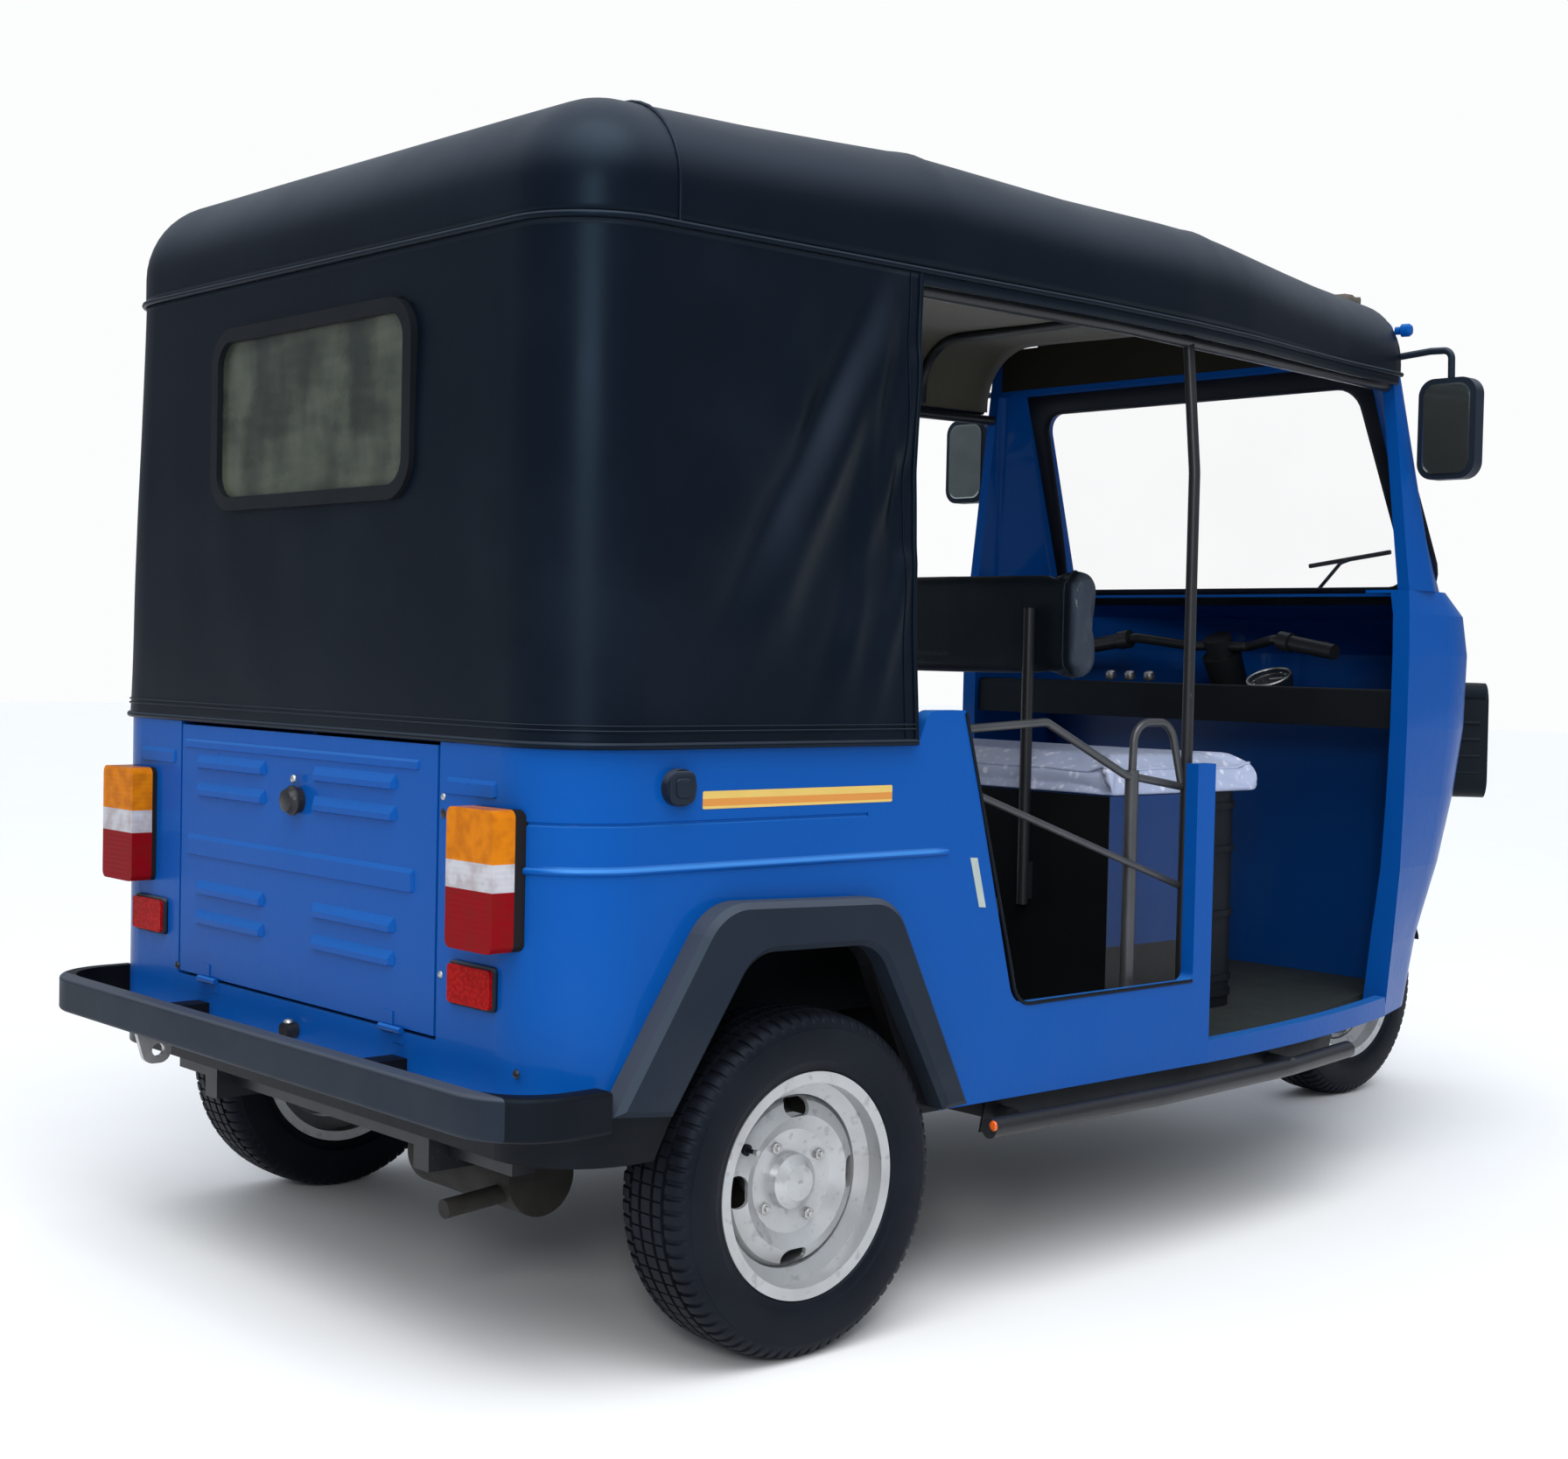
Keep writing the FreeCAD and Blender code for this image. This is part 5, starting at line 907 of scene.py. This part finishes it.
def blown(made, fixed, voxel):
    """Blows a closed cover up like cloth over the side that is fixed to its board."""
    axis, end = fixed
    start = [spot.co.copy() for spot in made.data.vertices]
    edge = (max if end else min)(p[axis] for p in start)
    held = [k for k, p in enumerate(start) if abs(p[axis] - edge) < voxel * 0.6]
    made.vertex_groups.new(name="board").add(held, 1.0, "REPLACE")
    blow = made.modifiers.new("blow", "CLOTH")
    blow.settings.use_pressure, blow.settings.uniform_pressure_force = True, AIR_PRESSURE
    blow.settings.effector_weights.gravity, blow.settings.quality = 0.0, 5
    blow.settings.vertex_group_mass = "board"
    blow.point_cache.frame_start, blow.point_cache.frame_end = 1, BLOW_FRAMES
    for moment in range(1, BLOW_FRAMES + 1):
        bpy.context.scene.frame_set(moment)
    settled(made)
    bpy.context.scene.frame_set(1)
    for spot, first in zip(made.data.vertices, start):
        moved = spot.co - first
        if moved.length > PAD_LIMIT:
            spot.co = first + moved * (PAD_LIMIT / moved.length)


def stuffed(name, node, material, slot, voxel, rounding, fixed, proud=(0.0, 0.0, 0.0)):
    """A foam pad: a rounded block blown up over its fixed side, then brought back to its solid's size."""
    low, high = (corner + sign * Vector(proud) for corner, sign in zip(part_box(node), (-1, 1)))
    block = bmesh.new()
    bmesh.ops.create_cube(block, size=1.0)
    for corner in block.verts:
        corner.co = [low[i] + PAD_INSET + (corner.co[i] + 0.5) * (high[i] - low[i] - 2 * PAD_INSET)
                     for i in range(3)]
    bmesh.ops.bevel(block, geom=block.edges[:], offset=rounding, segments=5, profile=0.5, affect="EDGES",
                    clamp_overlap=True)
    mesh = bpy.data.meshes.new(name)
    block.to_mesh(mesh)
    block.free()
    made = placed(name, mesh, material, slot, "body")
    even = made.modifiers.new("even", "REMESH")
    even.mode, even.voxel_size, even.use_smooth_shade = "VOXEL", voxel, True
    settled(made)
    blown(made, fixed, voxel)
    for i in range(3):
        reach = [spot.co[i] for spot in made.data.vertices]
        near, far = min(reach), max(reach)
        for spot in made.data.vertices:
            spot.co[i] = low[i] + (spot.co[i] - near) * (high[i] - low[i]) / (far - near)
    made.modifiers.new("smooth", "SUBSURF").levels = 1
    settled(made)
    made.data.shade_smooth()
    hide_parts(node)
    return made


def outline(node, flat_axis, level, inset, radius):
    """A rounded rectangle round a pad at one level of an axis, in steps of about 20 mm."""
    low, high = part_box(node)
    a, b = (i for i in range(3) if i != flat_axis)
    middle = (low + high) / 2
    path = []
    for u, v in rounded(high[a] - low[a] - 2 * inset, high[b] - low[b] - 2 * inset, radius, 8):
        spot = Vector((0.0, 0.0, 0.0))
        spot[a], spot[b], spot[flat_axis] = middle[a] + u, middle[b] + v, level
        path.append(spot)
    dense = []
    for here, there in zip(path, path[1:] + path[:1]):
        count = max(1, int((there - here).length / 0.02))
        dense += [here.lerp(there, k / count) for k in range(count)]
    return dense


def piping(name, pad, path, radius, material, slot):
    """A sewn cord that follows the pad's surface along a closed path."""
    bpy.context.view_layer.update()
    hits = [pad.closest_point_on_mesh(p) for p in path]
    line = [place + normal * 0.0006 for _, place, normal, _ in hits]
    tube(name, line, radius, material, slot, closed=True)


figured = finish("figured_vinyl", figured_vinyl, Coat_Weight=0.05, Specular_IOR_Level=0.25)
vinyl = finish("black_vinyl", black_vinyl, Coat_Weight=0.08, Specular_IOR_Level=0.22,
               Specular_Tint=BLACK_SHEEN)
seat = stuffed("driver_cushion_pad", "driver_cushion", figured, "seat_blue", 0.009, 0.024, (2, 0))
line = outline("driver_cushion", 2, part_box("driver_cushion")[1].z - CUSHION_SEAM, 0.004, 0.03)
piping("driver_cushion_piping", seat, line, 0.0028, figured, "seat_blue")
bench = stuffed("passenger_cushion_pad", "passenger_cushion", vinyl, "seat_black", 0.012, 0.030, (2, 0))
line = outline("passenger_cushion", 2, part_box("passenger_cushion")[1].z - BENCH_SEAM, 0.004, 0.04)
piping("passenger_cushion_piping", bench, line, 0.003, vinyl, "seat_black")
rest = stuffed("driver_backrest_pad", "driver_backrest", vinyl, "seat_black", 0.007, 0.042, (1, 1),
               (0.004, 0.0, 0.010))
for side, label in SIDES:
    line = outline("driver_backrest", 0, side * (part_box("driver_backrest")[1].x - REST_SEAM), -0.002, 0.034)
    piping(f"driver_backrest_piping_{label}", rest, line, 0.0026, vinyl, "seat_black")
back = stuffed("passenger_backrest_pad", "passenger_backrest", vinyl, "seat_black", 0.012, 0.032, (1, 1))
line = outline("passenger_backrest", 1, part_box("passenger_backrest")[0].y + BENCH_BACK_SEAM, 0.004, 0.05)
piping("passenger_backrest_piping", back, line, 0.003, vinyl, "seat_black")


# ---- Sills and side openings -------------------------------------------------------------------------
# A black plastic valance hangs below each sill and follows its curve; a thin rubber edging is pushed on
# the rim of each side opening.
SILL_BACK, SILL_LENGTH, CURVE_START, CURVE_LENGTH = 0.60, 1.06, 0.058, 0.72
SILL_HALF, SILL_TAPER, SILL_TURN_IN = 0.6470, 0.0364, 0.065508
# (height, out from the sill's edge)
VALANCE_SECTION = ((0.3222, 0.0), (0.262, -0.012), (0.262, -0.016), (0.3222, -0.004))
OPENING_X, OPENING_FRONT, OPENING_FOOT = 0.6765, 0.112, 0.4705
BEND_CENTRE, BEND_RADIUS = (0.535, 0.510), 0.040
JAMB_FOOT, JAMB_RUN, JAMB_STEPS = (0.575, 0.508), (0.127, 0.434), (0.1, 0.3, 0.5, 0.7, 0.9, 0.99)


def sill_half(y):
    """The sill's outer edge, drawn in towards the front."""
    share = max(0.0, (CURVE_START - y) / CURVE_LENGTH)
    return SILL_HALF - SILL_TAPER * share - SILL_TURN_IN * share * share


for side, label in SIDES:
    run = [SILL_BACK - SILL_LENGTH * k / 30 for k in range(31)]
    n = len(run)
    points = [Vector((side * (sill_half(y) + out), y, z)) for z, out in VALANCE_SECTION for y in run]
    ends = [(0, n, 2 * n, 3 * n), (4 * n - 1, 3 * n - 1, 2 * n - 1, n - 1)]
    skirt = quads(4, n, closed=False, looped=True) + ends
    piece(f"sill_valance_{label}", points, skirt, jet, "black_plastic", smooth=False)
level_run = [(OPENING_FRONT + 0.06 * k, OPENING_FOOT) for k in range(7)]
bend = [(BEND_CENTRE[0] + BEND_RADIUS * math.sin(turn), BEND_CENTRE[1] - BEND_RADIUS * math.cos(turn))
        for turn in (math.radians(18 * k) for k in range(5))]
slope = [(JAMB_FOOT[0] + JAMB_RUN[0] * share, JAMB_FOOT[1] + JAMB_RUN[1] * share) for share in JAMB_STEPS]
for side, label in SIDES:
    edge = [(side * OPENING_X, y, z) for y, z in level_run + bend + slope]
    tube(f"opening_edging_{label}", edge, 0.0030, rubber, "rubber")


# ---- Side stripe, door plate and fuel flap -----------------------------------------------------------
# A two-tone film stripe is stuck on each rear side, a blank pale plate on the right door jamb, and the
# fuel cap has a square flap with a raised middle.
STRIPE_PLACE, STRIPE_SIZE = (0.6755, 1.0465, 0.8175), (0.373, 0.025)
PLATE_X, PLATE_CORNERS = -0.6762, ((0.684, 0.712), (0.668, 0.711), (0.646, 0.632), (0.661, 0.633))
FLAP_SEAT = 0.0005
# (size, out from the cap)
FLAP_RINGS = ((0.046, 0.0), (0.046, 0.0022), (0.042, 0.0036), (0.026, 0.0036), (0.026, 0.0060),
              (0.020, 0.0072))


def stripe_film(at):
    middle = at.axis("Z").band(0.8085, 0.8092, 0.8190, 0.8197)
    yellow = at.grain(15, 3).tint((0.56, 0.37, 0.070), (0.64, 0.44, 0.10))
    return {
        "Base Color": middle.tint(yellow, (0.55, 0.205, 0.018)),
        "Roughness": at.grain(30, 3) * 0.2 + 0.34}


def pale_plate(at):
    return {
        "Base Color": at.grain(30, 3).tint((0.28, 0.34, 0.32), (0.42, 0.48, 0.45)),
        "Roughness": at.grain(60) * 0.2 + 0.35}


film = finish("stripe_film", stripe_film, Coat_Weight=0.4)
x, y, z = STRIPE_PLACE
edge = rounded(*STRIPE_SIZE, 0.002, 2)
for side, label in SIDES:
    rings = [[Vector((side * (x + out), y + back, z + up)) for back, up in edge] for out in (0.0, 0.0012)]
    piece(f"stripe_{label}", *capped(rings), film, "seat_blue", smooth=False)
pale = finish("pale_plate", pale_plate)
rings = [[Vector((PLATE_X - out, y, z)) for y, z in PLATE_CORNERS] for out in (0.0, 0.0011)]
piece("blank_plate", *capped(rings), pale, "steel", smooth=False)
cap_low, cap_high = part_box("fuel_cap")
middle = (cap_low + cap_high) / 2
rings = [[Vector((cap_low.x + FLAP_SEAT - out, middle.y + back, middle.z + up))
          for back, up in rounded(size, size, size * 0.28)] for size, out in FLAP_RINGS]
flap = piece("fuel_flap", *capped(rings), plastic, "black_plastic")
flap.data.set_sharp_from_angle(angle=math.radians(35))


# ---- Bolts, lock and lamps' fittings -----------------------------------------------------------------
# Round-headed bolts and a zinc-screwed catch on the rear panel; the hatch's lock has a turned cover.
# Orange indicators sit in black cases on the nose, and small orange markers are pushed into the steps'
# rear ends. The reflectors have black seats.
BACKWARD, UPWARD = (0, 1, 0), (0, 0, 1)
PANEL_BACK, HATCH_BACK, CATCH_X = 1.4795, 1.4895, -0.402
INDICATOR_X, INDICATOR_Z, AHEAD_OF_NOSE = 0.235, 0.742, -2.0
INDICATOR_CASE = ((0.0, 0.047), (0.016, 0.045), (0.018, 0.043))
REFLECTOR_PLACE, REFLECTOR_SEAT = (0.487, 1.4802, 0.555), (0.112, 0.062)
LOCK_COVER = ((0.0, 0.0235), (0.004, 0.0235), (0.007, 0.020), (0.0145, 0.0175), (0.0165, 0.012))


def marker_lens(at):
    return {
        "Base Color": at.cells(220).tint((0.75, 0.13, 0.006), (0.55, 0.06, 0.004)),
        "Roughness": at.cells(220) * 0.1 + 0.14}


def turned(name, spots, axis, profile, material, slot, body="body", steps=20):
    """The same small turned piece at each spot; profile gives (along the axis, radius)."""
    axis = Vector(axis).normalized()
    first = axis.orthogonal().normalized()
    second = axis.cross(first)
    turns = [2 * math.pi * k / steps for k in range(steps)]
    spokes = [first * math.cos(turn) + second * math.sin(turn) for turn in turns]
    stacks = [[[Vector(spot) + axis * reach + spoke * radius for spoke in spokes]
               for reach, radius in profile] for spot in spots]
    made = piece(name, *joined(stacks), material, slot, body)
    made.data.set_sharp_from_angle(angle=math.radians(35))


def dome(radius, height, steps=6):
    """A screw or bolt head's profile."""
    turns = [math.radians(90 * k / steps) for k in range(1, steps + 1)]
    curve = [(height * math.sin(turn), radius * max(math.cos(turn), 0.02)) for turn in turns]
    return [(0.0, radius)] + curve


orange = finish("marker_lens", marker_lens, Coat_Weight=0.6)
for name, spots, axis, profile, material, slot, body in (
        ("body_bolts", ((0.394, PANEL_BACK, 0.477), (-0.59, PANEL_BACK, 0.448)),
         BACKWARD, dome(0.0065, 0.005), enamel, "black_paint", "body"),
        ("catch_screws", ((CATCH_X, PANEL_BACK, 0.812), (CATCH_X, PANEL_BACK, 0.560)),
         BACKWARD, dome(0.0055, 0.004), steel, "steel", "body"),
        ("catch_slot", ((CATCH_X, PANEL_BACK, 0.788),),
         BACKWARD, dome(0.0075, 0.0025), enamel, "black_paint", "body"),
        ("buffer_cap", ((0, 1.492, 0.4365),), UPWARD, dome(0.0085, 0.006), steel, "steel", "body"),
        ("lock_cover", ((0, 1.490, 0.781),), BACKWARD, LOCK_COVER, enamel, "black_paint", "rear_hatch"),
        ("lock_screw", ((0, HATCH_BACK, 0.8145),),
         BACKWARD, dome(0.0068, 0.005), steel, "steel", "rear_hatch")):
    turned(name, spots, axis, profile, material, slot, body)
for side, label in SIDES:
    start = Vector((side * INDICATOR_X, AHEAD_OF_NOSE, INDICATOR_Z))
    found, seat, out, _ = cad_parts["front_cowl"].ray_cast(start, Vector(BACKWARD))
    if found:
        turned(f"front_indicator_case_{label}", [seat - out * 0.010], out, INDICATOR_CASE,
               jet, "black_plastic", steps=36)
        turned(f"front_indicator_{label}", [seat + out * 0.006], out, dome(0.040, 0.016),
               orange, "reflector", steps=36)
step_ends = [(side * 0.70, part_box("side_steps")[1].y + 0.0005, 0.289) for side, _ in SIDES]
turned("step_markers", step_ends, BACKWARD, dome(0.0085, 0.004), orange, "reflector")
for side, label in SIDES:
    x, y, z = REFLECTOR_PLACE
    rings = [[Vector((side * (x + across), y + out, z + up))
              for across, up in rounded(*(size - 2 * lip for size in REFLECTOR_SEAT), 0.008)]
             for lip, out in ((0.0, 0.0), (0.0, 0.005), (0.003, 0.007))]
    piece(f"reflector_seat_{label}", *capped(rings), plastic, "black_plastic")


# ---- Windscreen seal and rolled flap -----------------------------------------------------------------
# A wide rubber moulding round the inside of the windscreen. A worn cloth flap lies rolled up over the
# header, with a painted hook for it at the roof's right front corner.
SCREEN_FOOT, SCREEN_TOP, SCREEN_INNER = 1.19, 1.60, -0.8775
SCREEN_HALF_FOOT, SCREEN_HALF_TOP, FOOT_RADIUS, TOP_RADIUS = 0.462, 0.428, 0.045, 0.050
# the seal's section from the glass outward: (let out at the sides, let out at the top, proud of the frame)
SEAL_SECTION = ((0.000, 0.000, -0.012), (-0.004, -0.004, -0.002), (0.000, 0.000, 0.004),
                (0.008, 0.008, 0.005), (0.074, 0.050, 0.004), (0.078, 0.054, -0.002))
FLAP_HALF, FLAP_SPANS, FLAP_LINE, FLAP_THICK = 0.42, 60, (-0.716, 1.776), (0.030, 0.0145)
HOOK = ((0.0, 0.008), (0.010, 0.008), (0.013, 0.013), (0.028, 0.013), (0.033, 0.009))


def aged_flap(at):
    return {
        "Base Color": at.grain(14, 4).tint((0.045, 0.038, 0.030), (0.110, 0.092, 0.072)),
        "Roughness": at.grain(20, 3) * 0.2 + 0.6,
        "Normal": at.grain(40, 3).relief(0.003, 0.6)}


def seal_ring(grow, top_grow, proud):
    """A rounded outline of the raked screen, let out at the sides and top."""
    ring = []
    for quarter, (x, z) in enumerate(((1, 1), (-1, 1), (-1, -1), (1, -1))):
        half, edge, radius = SCREEN_HALF_TOP, SCREEN_TOP + top_grow, TOP_RADIUS + grow * 0.5
        if z < 0:
            half, edge = SCREEN_HALF_FOOT, SCREEN_FOOT - min(grow, 0.05) * 0.7
            radius = FOOT_RADIUS + grow * 0.5
        for k in range(7):
            turn = math.radians(90 * quarter + 15 * k)
            height = edge - z * radius + radius * math.sin(turn)
            depth = SCREEN_INNER + SCREEN_RAKE * (height - SCREEN_FOOT) + proud
            ring.append(Vector((x * (half + grow - radius) + radius * math.cos(turn), depth, height)))
    return ring


rings = [seal_ring(*row) for row in SEAL_SECTION]
faces = quads(len(rings), len(rings[0]))
piece("screen_seal", [p for ring in rings for p in ring], faces, rubber, "rubber")
rings = []
for k in range(FLAP_SPANS + 1):
    across_roof = FLAP_HALF - 2 * FLAP_HALF * k / FLAP_SPANS
    sag = Vector((0, 0.004 * noise.noise((k * 0.21, 3.0, 1.0)), 0.003 * noise.noise((k * 0.17, 8.0, 2.0))))
    spot = Vector((across_roof, *FLAP_LINE)) + sag
    swell = 1 + 0.16 * noise.noise((k * 0.33, 5.0, 0.0)) - (0.35 if k in (0, FLAP_SPANS) else 0)
    rings.append([spot + Vector((0, FLAP_THICK[0] * swell * math.cos(a),
                                 FLAP_THICK[1] * swell * math.sin(a) + 0.004 * math.sin(3 * a + k * 0.1)))
                  for a in (2 * math.pi * j / 22 for j in range(22))])
piece("rolled_flap", *capped(rings), finish("aged_flap", aged_flap), "canopy")
turned("flap_hook", [(-0.533, -0.690, 1.700)], (-1, -0.25, 0), HOOK, paint, "body_paint")


# ---- Dial and tray knobs -----------------------------------------------------------------------------
# A round dial in a black case with a bright ring, nine pale ticks and a thin hand, tilted towards the
# driver, and three turned metal knobs beside it on the tray.
DIAL_PLACE = Vector((-0.20, -0.775, 0.972))
DIAL_AXIS = Vector((0, 0.42, 0.90)).normalized()
DIAL_CASE = ((0.0, 0.047), (0.022, 0.050), (0.026, 0.050), (0.026, 0.044), (0.021, 0.043))
KNOB = ((0.0, 0.012), (0.004, 0.013), (0.016, 0.011), (0.018, 0.008))


def dial_face(at):
    haze = at.grain(3, 2)
    return {
        "Base Color": haze.tint((0.020, 0.022, 0.026), (0.032, 0.034, 0.040)),
        "Roughness": haze * 0.1 + 0.2}


right_hand = DIAL_AXIS.orthogonal().normalized()
top_hand = DIAL_AXIS.cross(right_hand).normalized()
brim = DIAL_PLACE + DIAL_AXIS * 0.026
turned("dial_case", [DIAL_PLACE], DIAL_AXIS, DIAL_CASE, plastic, "black_plastic", steps=40)
ring = [brim + (right_hand * math.cos(turn) + top_hand * math.sin(turn)) * 0.047
        for turn in (math.radians(9 * k) for k in range(40))]
tube("dial_ring", ring, 0.0032, steel, "steel", closed=True)
ticks = [brim - DIAL_AXIS * 0.0042 + (top_hand * math.cos(turn) + right_hand * math.sin(turn)) * 0.035
         for turn in (math.radians(-120 + 30 * k) for k in range(9))]
turned("dial_ticks", ticks, DIAL_AXIS, dome(0.0022, 0.0008, 2), pale, "steel", steps=8)
pivot = brim - DIAL_AXIS * 0.0038
tube("dial_hand", [pivot, pivot + (top_hand * 0.5 - right_hand * 0.85) * 0.030], 0.0009, pale, "steel")
turned("tray_knobs", [(x, -0.735, 0.9835) for x in (0.10, 0.155, 0.21)], (0, 0.3, 1), KNOB, steel, "steel")
glass_black = finish("dial_face", dial_face, Coat_Weight=0.8)
turned("dial_face", [DIAL_PLACE], DIAL_AXIS, ((0.0205, 0.0425), (0.0212, 0.0425)),
       glass_black, "black_plastic", steps=40)
